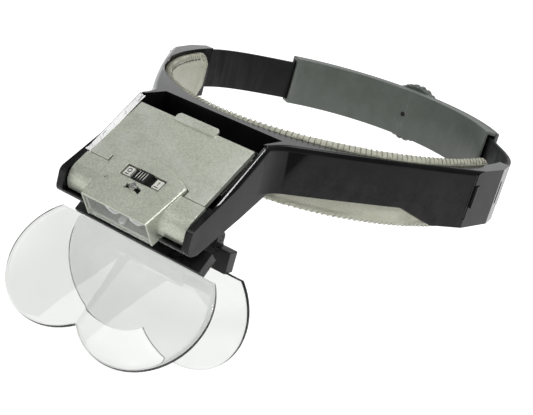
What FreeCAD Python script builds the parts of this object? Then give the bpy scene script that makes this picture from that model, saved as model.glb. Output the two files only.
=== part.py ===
"""Head visor magnifier with a lamp, as a parametric FreeCAD document in millimetres.

X is sideways, -Y is where the wearer looks and Z is up. The origin is midway between the
arm ends, level with the band's top edge. Pieces in the sloping lamp bay are drawn in a bay
frame of their own: x sideways, y up the slope, z out of it, from the battery door's top edge.
"""

import FreeCAD
import Part
import math
import os
import re

import Sketcher

SIZES = [
    # front band, with its arms and strap sockets
    ("head_half", 78.0, "half width of the band's inside"),
    ("head_reach", 97.0, "from the arm ends to the inside of the forehead"),
    ("arm_half", 84.0, "half width over the strap sockets"),
    ("arm_end_half", 82.5, "half width over the arm ends"),
    ("socket_bend_back", 10.7, "socket's rear facet, ahead of the arm ends"),
    ("knee_half", 80.6, "half width at the socket's front facet"),
    ("knee_back", 31.0, "socket's front facet, ahead of the arm ends"),
    ("arm_bow", 1.2, "how far the arms bow outwards"),
    ("band_high", 18.5, "height of the band"),
    ("socket_high", 24.7, "height of the sockets"),
    ("step_low_back", 45.0, "lower end of the step under the arm"),
    ("step_high_back", 59.0, "upper end of the step under the arm"),
    ("band_wall", 4.5, "band's wall behind the pocket"),
    ("rim_round", 2.2, "rounding of the band's top rim"),
    # visor walls and belly
    ("visor_half", 31.0, "half width over the visor walls"),
    ("wall", 3.0, "visor wall"),
    ("visor_back", 107.0, "where the walls leave the arms"),
    ("brow_back", 115.0, "where the walls' top edge starts to slope"),
    ("bend_back", 140.0, "bend in the walls' top edge"),
    ("bend_drop", 20.8, "drop at that bend"),
    ("nose_back", 151.0, "front of the walls"),
    ("nose_top", 27.5, "drop of the nose's top corner"),
    ("nose_low", 37.0, "drop of the nose's lowest point"),
    ("nose_heel_back", 145.0, "rear of the nose's flat underside"),
    ("belly_mid_back", 122.4, "bend in the belly"),
    ("belly_mid_drop", 26.4, "drop at that bend"),
    ("floor_thick", 2.0, "belly plate"),
    ("lip_drop", 35.2, "top of the lip under the lamp housing"),
    ("rim_bevel", 2.3, "bevel along the walls' inner top edge"),
    ("nose_round", 3.0, "rounding of the nose"),
    # straps
    ("strap_high", 19.4, "height of the straps"),
    ("strap_thick", 1.5, "thickness of the straps"),
    ("strap_gap", 0.25, "clearance round a strap"),
    ("strap_deep", 32.0, "depth of the strap channel in the socket"),
    ("strap_half", 80.2, "strap's half spacing at the arm ends"),
    ("strap_lean", 1.0, "degrees the channel leans outwards"),
    ("catch_wide", 2.8, "width of a catch window"),
    ("catch_high", 10.0, "height of a catch window"),
    ("catch_front", 30.0, "front catch window, ahead of the arm end"),
    ("catch_rear", 8.5, "rear catch window, ahead of the arm end"),
    ("band_mid", 11.0, "depth of the centre line of the straps and the knob"),
    # rear unit
    ("rear_middle", 1.0, "centre of the rear arc, behind the arm ends"),
    ("rear_outer", 75.5, "outer radius of the rear unit"),
    ("rear_thick", 7.0, "thickness of the rear unit"),
    ("rear_half_angle", 51.8, "half of the rear arc, in degrees"),
    ("rear_high", 24.0, "height of the rear unit"),
    ("rear_mid", 10.4, "depth of the rear shells' centre line"),
    ("shell_wall", 1.6, "wall of the rear shells"),
    ("shell_gap", 0.1, "gap between the two rear shells"),
    ("finger_angle", 36.0, "where the straps narrow to toothed fingers"),
    ("finger_tip_angle", 14.0, "how far a finger passes the knob"),
    ("finger_high", 4.0, "height of a finger outside its teeth"),
    ("tooth_count", 12.0, "teeth on the pinion"),
    ("tooth_pitch", 2.6, "pitch of the pinion and of the racks"),
    ("tooth_high", 1.5, "height of a tooth"),
    ("mesh_gap", 0.25, "clearance between teeth"),
    ("pinion_thick", 3.2, "thickness of the pinion"),
    ("shaft_rad", 3.0, "radius of the knob shaft"),
    ("run_gap", 0.06, "radial running clearance"),
    ("knob_rad", 15.0, "radius of the knob"),
    ("knob_thick", 7.0, "thickness of the knob"),
    ("knob_gap", 0.9, "gap between the knob and the rear cover"),
    ("knob_flutes", 24.0, "flutes round the knob"),
    ("flute_rad", 1.1, "radius of a flute"),
    ("screw_rad", 1.1, "radius of the small screws"),
    ("screw_head_rad", 1.9, "radius of their heads"),
    ("screw_head_high", 1.1, "height of their heads"),
    ("driver_rad", 1.2, "radius of the screwdriver's hole in the rear housing"),
    ("housing_screw_out", 12.6, "housing screws, out from the middle"),
    ("housing_screw_down", 38.0, "housing screws, down the slope"),
    ("bracket_screw_out", 10.0, "bracket screws, out from the middle"),
    # pad
    ("pad_thick", 7.0, "thickness of the pad"),
    ("pad_gap", 0.3, "gap between the pad and the band"),
    ("pad_top", 2.2, "pad's top edge above the band"),
    ("pad_low", 27.5, "pad's bottom edge below the band's top"),
    ("pad_end_back", 7.0, "pad's ends, ahead of the arm ends"),
    ("pad_end_round", 9.0, "rounding of the pad's ends"),
    # lamp bay
    ("bay_slope", 36.3, "slope of the bay, in degrees"),
    ("bay_back", 117.5, "battery door's top edge, ahead of the arm ends"),
    ("bay_drop", 3.0, "drop of the battery door's top edge"),
    ("door_half", 26.7, "half width of the battery door"),
    ("door_long", 29.8, "length of the battery door"),
    ("door_thick", 1.8, "thickness of the battery door"),
    ("door_skirt", 1.0, "depth of the door's side skirts"),
    ("tab_half", 9.7, "half width of the finger tab"),
    ("tab_reach", 2.4, "how far the tab passes the door's edge"),
    ("tab_rise", 0.6, "how far the tab stands above the door"),
    ("seam", 0.3, "gap between the door and its neighbours"),
    ("cover_half", 27.5, "half width of the lamp housing"),
    ("cover_thick", 1.6, "wall of the lamp housing"),
    ("cover_reach", 43.5, "front of the rolled edge, down the slope"),
    ("cover_deep", 7.4, "depth of the rolled edge"),
    ("roll_rad", 7.0, "radius of the rolled edge"),
    ("hood_back_half", 17.6, "half width of the hood at its rear"),
    ("hood_front_half", 15.2, "half width of the hood at its mouth"),
    ("hood_crown", 22.4, "hood's arched rear edge, down the slope"),
    ("hood_reach", 47.4, "hood's mouth, down the slope"),
    ("hood_rise", 0.9, "how far the hood stands above the door"),
    ("hood_deep", 10.6, "depth of the hood below the door's face"),
    ("hood_wall", 1.5, "wall of the hood"),
    ("hood_round", 1.0, "rounding of the hood's long top edges"),
    ("mouth_rim", 0.6, "wall of the hood round the lamp window"),
    ("mouth_deep", 2.4, "depth of the lamp window's seat"),
    ("arch_rad", 33.6, "radius of the hood's arched rear edge"),
    # switch
    ("window_half", 9.0, "half width of the switch window"),
    ("window_mid", 30.6, "middle of the switch window, down the slope"),
    ("window_high", 5.4, "height of the switch window"),
    ("plate_inset", 0.7, "dark border round a switch mark plate"),
    ("plate_wide", 3.2, "width of a switch mark plate"),
    ("slider_half", 2.9, "half length of the switch slider"),
    ("slider_rise", 0.45, "how far the slider stands out of the hood"),
    ("switch_travel", 1.5, "switch travel each way"),
    ("switch_gap", 0.15, "clearance round the slider"),
    # aimable lamp
    ("aim_mid", 43.6, "aim pivot, down the slope"),
    ("aim_arm", 7.5, "radius of the aim slot"),
    ("aim_half", 3.4, "half length of the aim slot"),
    ("aim_slot_wide", 2.0, "width of the aim slot"),
    ("led_half", 5.4, "half spacing of the lamps"),
    ("led_rad", 2.5, "radius of a lamp"),
    ("led_tip", 43.3, "tip of a lamp, down the slope"),
    ("block_half", 8.4, "half width of the lamp block"),
    ("block_front", 41.0, "front of the lamp block, down the slope"),
    ("block_back", 35.0, "rear of the lamp block, down the slope"),
    # batteries
    ("cell_rad", 5.25, "radius of an AAA cell"),
    ("cell_long", 44.5, "length of an AAA cell"),
    ("cell_gap", 0.2, "clearance round a cell"),
    ("cell_drop", 0.3, "gap between the cells and the door"),
    ("nub_rad", 1.9, "radius of a cell's positive end"),
    ("contact_thick", 0.4, "thickness of a contact plate"),
    ("contact_half", 3.6, "half width of a contact plate"),
    ("leaf_thick", 0.3, "thickness of a contact spring"),
    ("tray_half", 27.7, "half width of the battery tray"),
    ("tray_wall", 0.6, "wall of the battery tray"),
    ("tray_up", 1.6, "how far the tray passes the door's top edge"),
    ("tray_top", 2.2, "depth of the tray's rim below the door's face"),
    ("wire_rad", 0.5, "radius of a lamp wire"),
    ("wire_half", 3.0, "half spacing of the lamp wires"),
    # lens holders
    ("pin_drop", 38.6, "depth of the hinge pins"),
    ("rear_pin_back", 118.2, "rear hinge, ahead of the arm ends"),
    ("front_pin_back", 129.6, "front hinge, ahead of the arm ends"),
    ("pin_rad", 1.0, "radius of a hinge pin"),
    ("lug_rad", 2.6, "radius round a hinge pin"),
    ("lug_inner", 18.0, "inner face of a bracket lug"),
    ("lug_thick", 2.2, "thickness of a bracket lug"),
    ("washer_thick", 0.5, "thickness of a friction washer"),
    ("ear_thick", 2.4, "thickness of a holder's ear"),
    ("holder_half", 30.0, "half length of a holder"),
    ("holder_thick", 5.0, "thickness of a holder"),
    ("holder_high", 8.6, "height of a holder"),
    ("holder_below", 2.8, "from the pin to the top of the holder"),
    ("front_tilt", 41.8, "degrees the front holder leans forwards"),
    ("rear_tilt", 0.8, "degrees the rear holder leans forwards"),
    ("bracket_thick", 2.0, "plate of the hinge bracket"),
    ("bracket_behind", 6.8, "reach of the bracket behind the belly's bend"),
    ("bracket_ahead", 9.8, "reach of the bracket ahead of the belly's bend"),
    # lens plates
    ("lens_rad", 26.0, "radius of a lens lobe"),
    ("lens_half", 17.8, "half spacing of the lobes"),
    ("lens_below", 17.9, "lobe centres below the plate's top edge"),
    ("lens_thick", 2.2, "thickness of a lens plate"),
    ("lens_bulge", 1.1, "height of a lens lobe's curve"),
    ("tongue_half", 22.0, "half width of a lens plate's tongue"),
    ("tongue_high", 4.5, "height of a lens plate's tongue"),
    ("tongue_gap", 0.15, "clearance round the tongue"),
]

ALIASES = {alias for alias, _, _ in SIZES}
UP = FreeCAD.Vector(0, 0, 1)
EAST = FreeCAD.Vector(1, 0, 0)
NORTH = FreeCAD.Vector(0, 1, 0)
RACK_FILL = 0.45
TOOTH_INSET = 0.3
TOOTH_ROOT = 0.4
CATCH_PLAY = 0.25
CATCH_SINK = 0.2
CATCH_DEEP = 1.4
BOW_START = 0.35
BOW_END = 0.35
SIDES = (("left", -1), ("right", 1))

doc = FreeCAD.newDocument("head_visor_magnifier")
sheet = doc.addObject("Spreadsheet::Sheet", "Sizes")
for row, (alias, value, note) in enumerate(SIZES, 1):
    sheet.set(f"A{row}", note)
    sheet.set(f"B{row}", str(value))
    sheet.setAlias(f"B{row}", alias)
doc.recompute()

nodes = []


def size(alias):
    """The value of one cell of the sheet."""
    return float(sheet.get(alias))


def ex(text):
    """An expression, with the sheet's name put before each of its aliases."""

    def named(match):
        word = match.group()
        return "Sizes." + word if word in ALIASES else word

    return re.sub(r"[a-z_]+", named, str(text))


def bind(thing, **values):
    for name, text in values.items():
        thing.setExpression(name.replace("__", "."), ex(text))


def put(thing, x="0", y="0", z="0"):
    bind(thing, Placement__Base__x=x, Placement__Base__y=y, Placement__Base__z=z)
    return thing


def node(thing, label):
    """Marks an object as a finished piece, whose label names its file."""
    thing.Label = label
    nodes.append(thing)
    return thing


def in_bay(thing):
    """Places a piece drawn in the bay frame. A block has a place of its own, so it is wrapped first."""
    if thing.TypeId == "Part::Box":
        thing = set_of(thing.Name + "_piece", thing)
    thing.Placement = FreeCAD.Placement(FreeCAD.Vector(), FreeCAD.Rotation(EAST, 30))
    bind(thing, Placement__Rotation__Angle="bay_slope")
    return put(thing, "0", "-bay_back", "-bay_drop")


def block(name, low, high):
    """A box between two corners."""
    box = doc.addObject("Part::Box", name)
    spans = [f"({b}) - ({a})" for a, b in zip(low, high)]
    bind(box, Length=spans[0], Width=spans[1], Height=spans[2])
    return put(box, *low)


def rod(name, axis, radius, start, length):
    """A cylinder from a point along x, y or z."""
    turns = {"x": FreeCAD.Rotation(NORTH, 90), "y": FreeCAD.Rotation(EAST, -90), "z": FreeCAD.Rotation()}
    cylinder = doc.addObject("Part::Cylinder", name)
    cylinder.Placement = FreeCAD.Placement(FreeCAD.Vector(), turns[axis])
    bind(cylinder, Radius=radius, Height=length)
    return put(cylinder, *start)


def ball(name, radius, centre):
    sphere = doc.addObject("Part::Sphere", name)
    bind(sphere, Radius=radius)
    return put(sphere, *centre)


def join(name, *pieces):
    fused = doc.addObject("Part::MultiFuse", name)
    fused.Shapes = list(pieces)
    return fused


def minus(name, base, *tools):
    cut = doc.addObject("Part::Cut", name)
    cut.Base = base
    cut.Tool = tools[0] if len(tools) == 1 else join(name + "_tools", *tools)
    return cut


def both(name, one, other):
    common = doc.addObject("Part::Common", name)
    common.Base = one
    common.Tool = other
    return common


def set_of(name, *pieces):
    """Separate identical solids in one node."""
    group = doc.addObject("Part::Compound", name)
    group.Links = list(pieces)
    return group


def outline(body, plane, points):
    """A closed sketch of straight lines through points given as expressions."""
    sketch = body.newObject("Sketcher::SketchObject", body.Name + "_sketch")
    origin = [item for item in body.Origin.OriginFeatures if item.Role == plane][0]
    sketch.AttachmentSupport = (origin, [""])
    sketch.MapMode = "FlatFace"
    spots = []
    for point in points:
        first, second = (float(sketch.evalExpression(ex(f"({value}) * 1"))) for value in point)
        spots.append(FreeCAD.Vector(first, second, 0))
    count = len(spots)
    for i in range(count):
        sketch.addGeometry(Part.LineSegment(spots[i], spots[(i + 1) % count]))
    for i in range(count):
        sketch.addConstraint(Sketcher.Constraint("Coincident", i, 2, (i + 1) % count, 1))
    for i, point in enumerate(points):
        for kind, text, value in (
            ("DistanceX", point[0], spots[i].x), ("DistanceY", point[1], spots[i].y)
        ):
            rule = sketch.addConstraint(Sketcher.Constraint(kind, -1, 1, i, 1, value))
            sketch.setExpression(f"Constraints[{rule}]", ex(text))
    return sketch


def prism(name, plane, points, length):
    """A body padded symmetrically from an outline."""
    body = doc.addObject("PartDesign::Body", name)
    pad = body.newObject("PartDesign::Pad", name + "_pad")
    pad.Profile = outline(body, plane, points)
    pad.Midplane = True
    bind(pad, Length=length)
    return body


def turned(name, points, angle, axis="V_Axis", plane="XZ_Plane"):
    """A body revolved from an outline about one of its sketch's axes."""
    body = doc.addObject("PartDesign::Body", name)
    sketch = outline(body, plane, points)
    spin = body.newObject("PartDesign::Revolution", name + "_turn")
    spin.Profile = sketch
    spin.ReferenceAxis = (sketch, [axis])
    spin.Midplane = True
    bind(spin, Angle=angle)
    return body


def feature(name, shape):
    """A piece whose shape the sheet's values give through Part's functions."""
    thing = doc.addObject("Part::Feature", name)
    thing.Shape = shape
    thing.Placement = FreeCAD.Placement()
    return thing


def moved(shape, base=FreeCAD.Vector(), axis=UP, angle=0, shift=FreeCAD.Vector()):
    """A copy turned about an axis through a point and then shifted, with its geometry moved."""
    turn = FreeCAD.Placement(FreeCAD.Vector(), FreeCAD.Rotation(axis, angle), base)
    return shape.transformed(
        FreeCAD.Placement(shift, FreeCAD.Rotation()).multiply(turn).toMatrix(), copy=True
    )


def slab(points, half):
    """A solid from a side outline of (y, z) points, centred on x = 0."""
    ring = [FreeCAD.Vector(-half, y, z) for y, z in points]
    return Part.Face(Part.makePolygon(ring + ring[:1])).extrude(EAST * (2 * half))


def mirrored(shape):
    return shape.mirror(FreeCAD.Vector(), EAST)


def rounded(shape, radius, wanted):
    """The shape with a fillet on each edge that the test picks out."""
    edges = [edge for edge in shape.Edges if wanted(edge)]
    return shape.makeFillet(radius, edges)


def along_x(edge, y, z, near=0.05):
    """Whether an edge runs along x at a place of the side view."""
    spots = [vertex.Point for vertex in edge.Vertexes]
    return len(spots) == 2 and all(abs(p.y - y) < near and abs(p.z - z) < near for p in spots)


# ---------------------------------------------------------------- front frame


def ellipse_arc(half, reach, back):
    """The forehead's curve from one side to the other, ending at y = -back."""
    curve = Part.Ellipse(FreeCAD.Vector(0, -reach, 0), FreeCAD.Vector(half, 0, 0), FreeCAD.Vector())
    swing = math.acos(back / reach)
    return Part.Arc(curve, 2 * math.pi - swing, 2 * math.pi + swing).toShape()


def band():
    """The band and both arms, to the sockets' full height."""
    inside = ellipse_arc(size("head_half"), size("head_reach"), 0)
    corner = FreeCAD.Vector(size("visor_half"), -size("visor_back"), 0)
    knee = FreeCAD.Vector(size("knee_half"), -size("knee_back"), 0)
    chord = knee - corner
    outwards = FreeCAD.Vector(-chord.y, chord.x, 0).normalize()
    middle = corner + chord * 0.5 - outwards * size("arm_bow")
    bend = FreeCAD.Vector(size("arm_half"), -size("socket_bend_back"), 0)
    end = FreeCAD.Vector(size("arm_end_half"), 0, 0)
    inner_end = FreeCAD.Vector(size("head_half"), 0, 0)
    side = [
        Part.LineSegment(inner_end, end).toShape(),
        Part.LineSegment(end, bend).toShape(),
        Part.LineSegment(bend, knee).toShape(),
        Part.Arc(knee, middle, corner).toShape(),
    ]
    flip = FreeCAD.Vector(-corner.x, corner.y, 0)
    front = Part.LineSegment(corner, flip).toShape()
    wire = Part.Wire(Part.__sortEdges__([inside, front] + side + [mirrored(edge) for edge in side]))
    blank = Part.Face(wire).extrude(UP * -size("socket_high"))
    below = size("socket_high") + 1
    far = size("nose_back")
    step = slab(
        [
            (-size("step_low_back"), -size("socket_high")),
            (-size("step_high_back"), -size("band_high")),
            (-far, -size("band_high")),
            (-far, -below),
            (-size("step_low_back"), -below),
        ],
        size("arm_half") + 1,
    )
    return blank.cut(step)


def visor():
    """The two walls and the belly, as one solid block."""
    inner = size("head_reach") + size("band_wall")
    return slab(
        [
            (-inner, 0),
            (-size("brow_back"), 0),
            (-size("bend_back"), -size("bend_drop")),
            (-size("nose_back"), -size("nose_top")),
            (-size("nose_back"), -size("nose_low")),
            (-size("nose_heel_back"), -size("nose_low")),
            (-size("belly_mid_back"), -size("belly_mid_drop")),
            (-size("visor_back"), -size("band_high")),
            (-inner, -size("band_high")),
        ],
        size("visor_half"),
    )


def visor_hollow():
    """The pocket and the bay between the walls, open upwards and forwards."""
    inner = size("head_reach") + size("band_wall")
    above = 5
    ahead = size("nose_back") + 5
    floor = size("floor_thick")
    lip_back = size("nose_heel_back")
    return slab(
        [
            (-inner, above),
            (-inner, -size("band_high") + floor),
            (-size("visor_back"), -size("band_high") + floor),
            (-size("belly_mid_back"), -size("belly_mid_drop") + floor),
            (-lip_back + floor, -size("lip_drop")),
            (-ahead, -size("lip_drop")),
            (-ahead, above),
        ],
        size("visor_half") - size("wall"),
    )


def wall_bevel():
    """The cut that bevels the inner top edge of the left wall, down to the door's end."""
    start = FreeCAD.Vector(0, -size("brow_back"), 0)
    bend = FreeCAD.Vector(0, -size("bend_back"), -size("bend_drop"))
    run = (bend - start).normalize()
    length = size("door_long") + (size("bay_back") - size("brow_back")) / math.cos(
        math.radians(size("bay_slope"))
    )
    inside = -(size("visor_half") - size("wall"))
    deep = size("rim_bevel")
    rise = FreeCAD.Vector(0, -run.z, run.y) * -1
    corner = start + EAST * (inside + 1)
    ring = [
        corner + rise * 2,
        corner - rise * deep,
        corner - EAST * (deep + 1) + rise * 0.15,
        corner - EAST * (deep + 1) + rise * 2,
    ]
    return Part.Face(Part.makePolygon(ring + ring[:1])).extrude(run * length)


def strap_channel():
    """The channel for a strap in the right socket, with its two catch windows."""
    gap = size("strap_gap")
    wide = size("strap_thick") + 2 * gap
    high = size("strap_high") + 2 * gap
    low = -size("band_mid") - high / 2
    channel = Part.makeBox(wide, size("strap_deep") + 5, high)
    channel.translate(FreeCAD.Vector(-wide / 2, -size("strap_deep"), low))
    for back in (size("catch_front"), size("catch_rear")):
        window = Part.makeBox(8, size("catch_wide"), size("catch_high"))
        window.translate(FreeCAD.Vector(0, -back, -size("band_mid") - size("catch_high") / 2))
        channel = channel.fuse(window)
    channel.rotate(FreeCAD.Vector(), UP, -size("strap_lean"))
    channel.translate(EAST * size("strap_half"))
    return channel


def throat():
    """The web that rounds the corner between the right arm and its wall, as far as the walls' slope."""
    corner = FreeCAD.Vector(size("visor_half"), -size("visor_back"), 0)
    knee = FreeCAD.Vector(size("knee_half"), -size("knee_back"), 0)
    along = (knee - corner).normalize()
    long = size("brow_back") - size("visor_back")
    on_wall = corner - NORTH * long
    on_arm = corner + along * long
    half_turn = (NORTH * -1).getAngle(along) / 2
    radius = long * math.tan(half_turn)
    bisector = (along - NORTH).normalize()
    middle = corner + bisector * (radius / math.sin(half_turn) - radius)
    sides = [Part.LineSegment(on_wall, corner).toShape(), Part.LineSegment(corner, on_arm).toShape()]
    wire = Part.Wire(sides + [Part.Arc(on_arm, middle, on_wall).toShape()])
    return Part.Face(wire).extrude(UP * -size("band_high"))


def on_rim(edge):
    """Whether an edge is on the top outer rim, from an arm's knee to the walls' slope."""
    box = edge.BoundBox
    level = box.ZMin > -0.01
    reach = max(abs(box.XMin), abs(box.XMax))
    outside = box.YMax < -size("knee_back") + 0.1 and reach > size("visor_half") - 0.01
    inner = Part.Ellipse(FreeCAD.Vector(), size("head_reach"), size("head_half"))
    middle = edge.valueAt((edge.FirstParameter + edge.LastParameter) / 2)
    away = (middle.x / inner.MinorRadius) ** 2 + (middle.y / inner.MajorRadius) ** 2
    on_face = abs(abs(middle.x) - size("visor_half")) < 0.01
    slope = on_face and middle.y < -size("brow_back") and middle.z > -size("bend_drop")
    slope = slope and box.ZMax > -0.01 and box.ZMin < -1
    return (level and outside and away > 1.02) or slope


def front_frame():
    web = throat()
    body = band().fuse([visor(), web, mirrored(web)]).removeSplitter()
    nose = size("nose_back")
    corners = [(-nose, -size("nose_top")), (-nose, -size("nose_low"))]
    body = rounded(body, size("nose_round"), lambda e: any(along_x(e, y, z) for y, z in corners))
    body = rounded(body, size("rim_round"), on_rim)
    body = body.cut(visor_hollow())
    bevel = wall_bevel()
    channel = strap_channel()
    for tool in (bevel, mirrored(bevel), channel, mirrored(channel)):
        body = body.cut(tool)
    hole = Part.makeCylinder(size("screw_rad"), 30, FreeCAD.Vector(), UP)
    for x, y in bracket_screw_spots():
        place = hole.copy()
        place.translate(FreeCAD.Vector(x, y, -45))
        body = body.cut(place)
    for tool in hood_cuts():
        body = body.cut(tool)
    return body.removeSplitter()


def hood_cuts():
    """What the hood and its two screws take out of the belly and its lip."""
    gap = size("seam")
    wide = size("hood_back_half") + gap
    hood = Part.makeBox(2 * wide, 60, size("hood_deep") + gap + 5)
    hood.translate(FreeCAD.Vector(-wide, -size("hood_crown") - 60, -size("hood_deep") - gap))
    bores = []
    for _, side in SIDES:
        across = side * size("housing_screw_out")
        start = FreeCAD.Vector(across, -size("housing_screw_down"), -size("hood_deep") - 8)
        bores.append(Part.makeCylinder(size("screw_rad"), 10, start, UP))
    place = FreeCAD.Vector(0, -size("bay_back"), -size("bay_drop"))
    return [moved(tool, FreeCAD.Vector(), EAST, size("bay_slope"), place) for tool in [hood] + bores]


def bracket_screw_spots():
    """Where the two bracket screws pass the belly."""
    y = -(size("rear_pin_back") + size("front_pin_back")) / 2
    return [(side * size("bracket_screw_out"), y) for _, side in SIDES]


# ---------------------------------------------------------------- pad


def forehead_pad():
    gap = size("pad_gap")
    thick = size("pad_thick")
    back = size("pad_end_back")
    outer = ellipse_arc(size("head_half") - gap, size("head_reach") - gap, back)
    inner = ellipse_arc(size("head_half") - gap - thick, size("head_reach") - gap - thick, back)
    ends = [
        Part.LineSegment(outer.Vertexes[i].Point, inner.Vertexes[i].Point).toShape() for i in (0, 1)
    ]
    face = Part.Face(Part.Wire(Part.__sortEdges__([outer, inner] + ends)))
    face.translate(UP * -size("pad_low"))
    high = size("pad_top") + size("pad_low")
    solid = face.extrude(UP * high)
    bend = size("pad_end_round")
    middle = -back - bend
    for level, way in ((size("pad_top"), -1), (-size("pad_low"), 1)):
        corner = slab(
            [(middle, level + way * bend), (0, level + way * bend), (0, level), (middle, level)], 90
        )
        wheel = Part.makeCylinder(bend, 180, FreeCAD.Vector(-90, middle, level + way * bend), EAST)
        solid = solid.cut(corner.cut(wheel))
    return solid


node(feature("forehead_pad", forehead_pad()), "forehead_pad")


# ---------------------------------------------------------------- straps


def strap_path(steps=14):
    """Plan points of the right strap's middle: socket, bow, then the rear arc to its finger's tip."""
    lean = math.radians(size("strap_lean"))
    heading = FreeCAD.Vector(math.sin(lean), math.cos(lean), 0)
    mouth = FreeCAD.Vector(size("strap_half"), 0, 0)
    radius = size("rear_outer") - size("rear_thick") / 2
    centre = FreeCAD.Vector(0, size("rear_middle"), 0)

    def on_arc(degrees):
        turn = math.radians(degrees)
        return centre + FreeCAD.Vector(math.sin(turn), math.cos(turn), 0) * radius

    end = on_arc(size("rear_half_angle"))
    turn = math.radians(size("rear_half_angle"))
    tangent = FreeCAD.Vector(-math.cos(turn), math.sin(turn), 0)
    span = (end - mouth).Length
    pulls = [mouth, mouth + heading * span * BOW_START, end - tangent * span * BOW_END, end]
    points = [mouth - heading * size("strap_deep"), mouth - heading * (size("strap_deep") / 2)]
    for i in range(steps):
        t = i / steps
        points.append(
            pulls[0] * (1 - t) ** 3
            + pulls[1] * 3 * t * (1 - t) ** 2
            + pulls[2] * 3 * t * t * (1 - t)
            + pulls[3] * t**3
        )
    sweep = size("rear_half_angle") + size("finger_tip_angle")
    for i in range(steps + 1):
        points.append(on_arc(size("rear_half_angle") - sweep * i / steps))
    return points


def ribbon(points, thick, low, high):
    """A band of constant thickness that follows plan points, between two heights."""
    sides = ([], [])
    for i, point in enumerate(points):
        ahead = points[min(i + 1, len(points) - 1)] - points[max(i - 1, 0)]
        across = FreeCAD.Vector(-ahead.y, ahead.x, 0).normalize() * (thick / 2)
        sides[0].append(point + across)
        sides[1].append(point - across)
    curves = []
    for side in sides:
        curve = Part.BSplineCurve()
        curve.interpolate(side)
        curves.append(curve.toShape())
    ends = [Part.LineSegment(sides[0][i], sides[1][i]).toShape() for i in (0, -1)]
    face = Part.Face(Part.Wire(Part.__sortEdges__(curves + ends)))
    face.translate(UP * low)
    return face.extrude(UP * (high - low))


def sector(radius, thick, low, high, start, end):
    """A block of the rear arc between two angles from the rear, positive to the right."""
    block_ring = Part.makeCylinder(
        radius + thick / 2, high - low, FreeCAD.Vector(0, 0, low), UP, end - start
    )
    hollow = Part.makeCylinder(radius - thick / 2, high - low, FreeCAD.Vector(0, 0, low), UP, 360)
    ring = block_ring.cut(hollow)
    ring.rotate(FreeCAD.Vector(), UP, 90 - end)
    ring.translate(FreeCAD.Vector(0, size("rear_middle"), 0))
    return ring


def right_strap():
    """The strap, its catches and its toothed finger, which runs over the pinion."""
    middle = -size("band_mid")
    half = size("strap_high") / 2
    strap = ribbon(strap_path(), size("strap_thick"), middle - half, middle + half)
    radius = size("rear_outer") - size("rear_thick") / 2
    pitch_rad = size("tooth_count") * size("tooth_pitch") / (2 * math.pi)
    root = middle + pitch_rad + size("tooth_high") / 2 + size("mesh_gap")
    wide = size("strap_thick") + 6
    tip = -size("finger_tip_angle") - 8
    strap = strap.cut(sector(radius, wide, middle - half - 5, root, tip, size("finger_angle")))
    strap = strap.cut(
        sector(radius, wide, root + size("finger_high"), middle + half + 5, tip, size("finger_angle"))
    )
    step = math.degrees(size("tooth_pitch") / radius)
    teeth = []
    for i in range(-int(size("finger_tip_angle") / step), int(size("finger_angle") / step)):
        start = step * (i + 0.5 - RACK_FILL / 2)
        low = root - size("tooth_high")
        teeth.append(
            sector(
                radius,
                size("strap_thick") - TOOTH_INSET,
                low,
                root + TOOTH_ROOT,
                start,
                start + step * RACK_FILL,
            ),
        )
    strap = strap.multiFuse(teeth)
    for back in (size("catch_front"), size("catch_rear")):
        wide = size("catch_wide") - 2 * CATCH_PLAY
        high = size("catch_high") - 2 * CATCH_PLAY
        catch = Part.makeBox(CATCH_DEEP, wide, high)
        catch.translate(
            FreeCAD.Vector(size("strap_thick") / 2 - CATCH_SINK, -back + CATCH_PLAY, middle - high / 2)
        )
        catch.rotate(FreeCAD.Vector(), UP, -size("strap_lean"))
        catch.translate(EAST * size("strap_half"))
        strap = strap.fuse(catch)
    return strap


def left_strap():
    """The right strap turned over about the knob's axis, so that its finger runs below."""
    return moved(right_strap(), FreeCAD.Vector(0, 0, -size("band_mid")), NORTH, 180)


node(feature("right_strap", right_strap()), "right_strap")
node(feature("left_strap", left_strap()), "left_strap")


# ---------------------------------------------------------------- rear unit


def rear_shell(name, points):
    """A shell of the rear arc, revolved about the arc's centre."""
    shell = turned(name, points, "2 * rear_half_angle")
    shell.Placement = FreeCAD.Placement(FreeCAD.Vector(), FreeCAD.Rotation(UP, 90))
    return put(shell, "0", "rear_middle", "-rear_mid")


inner_wall = "rear_outer - rear_thick"
split = "rear_outer - shell_wall - shell_gap"
housing_blank = rear_shell(
    "housing_blank",
    [
        (inner_wall, "rear_high / 2"),
        (split, "rear_high / 2"),
        (split, "rear_high / 2 - shell_wall + run_gap"),
        (inner_wall + " + shell_wall", "rear_high / 2 - shell_wall + run_gap"),
        (inner_wall + " + shell_wall", "-rear_high / 2 + shell_wall - run_gap"),
        (split, "-rear_high / 2 + shell_wall - run_gap"),
        (split, "-rear_high / 2"),
        (inner_wall, "-rear_high / 2"),
    ],
)
cover_blank = rear_shell(
    "cover_blank",
    [
        ("rear_outer - shell_wall", "rear_high / 2"),
        ("rear_outer", "rear_high / 2"),
        ("rear_outer", "-rear_high / 2"),
        ("rear_outer - shell_wall", "-rear_high / 2"),
    ],
)
knob_line = ("0", "rear_middle", "-band_mid")
driver_hole = rod("driver_hole", "y", "driver_rad", knob_line, "rear_outer - rear_thick / 2")
seat_start = ("0", "rear_middle + rear_outer - rear_thick + shell_wall / 2.5", "-band_mid")
screw_seat = rod(
    "screw_seat", "y", "screw_head_rad + 0.25", seat_start, "rear_thick / 2 - shell_wall / 2.5"
)
node(minus("housing_bored", housing_blank, driver_hole, screw_seat), "rear_housing")
shaft_hole = rod("shaft_hole", "y", "shaft_rad + run_gap", knob_line, "rear_outer + 5")
node(minus("cover_bored", cover_blank, shaft_hole), "rear_cover")

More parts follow.
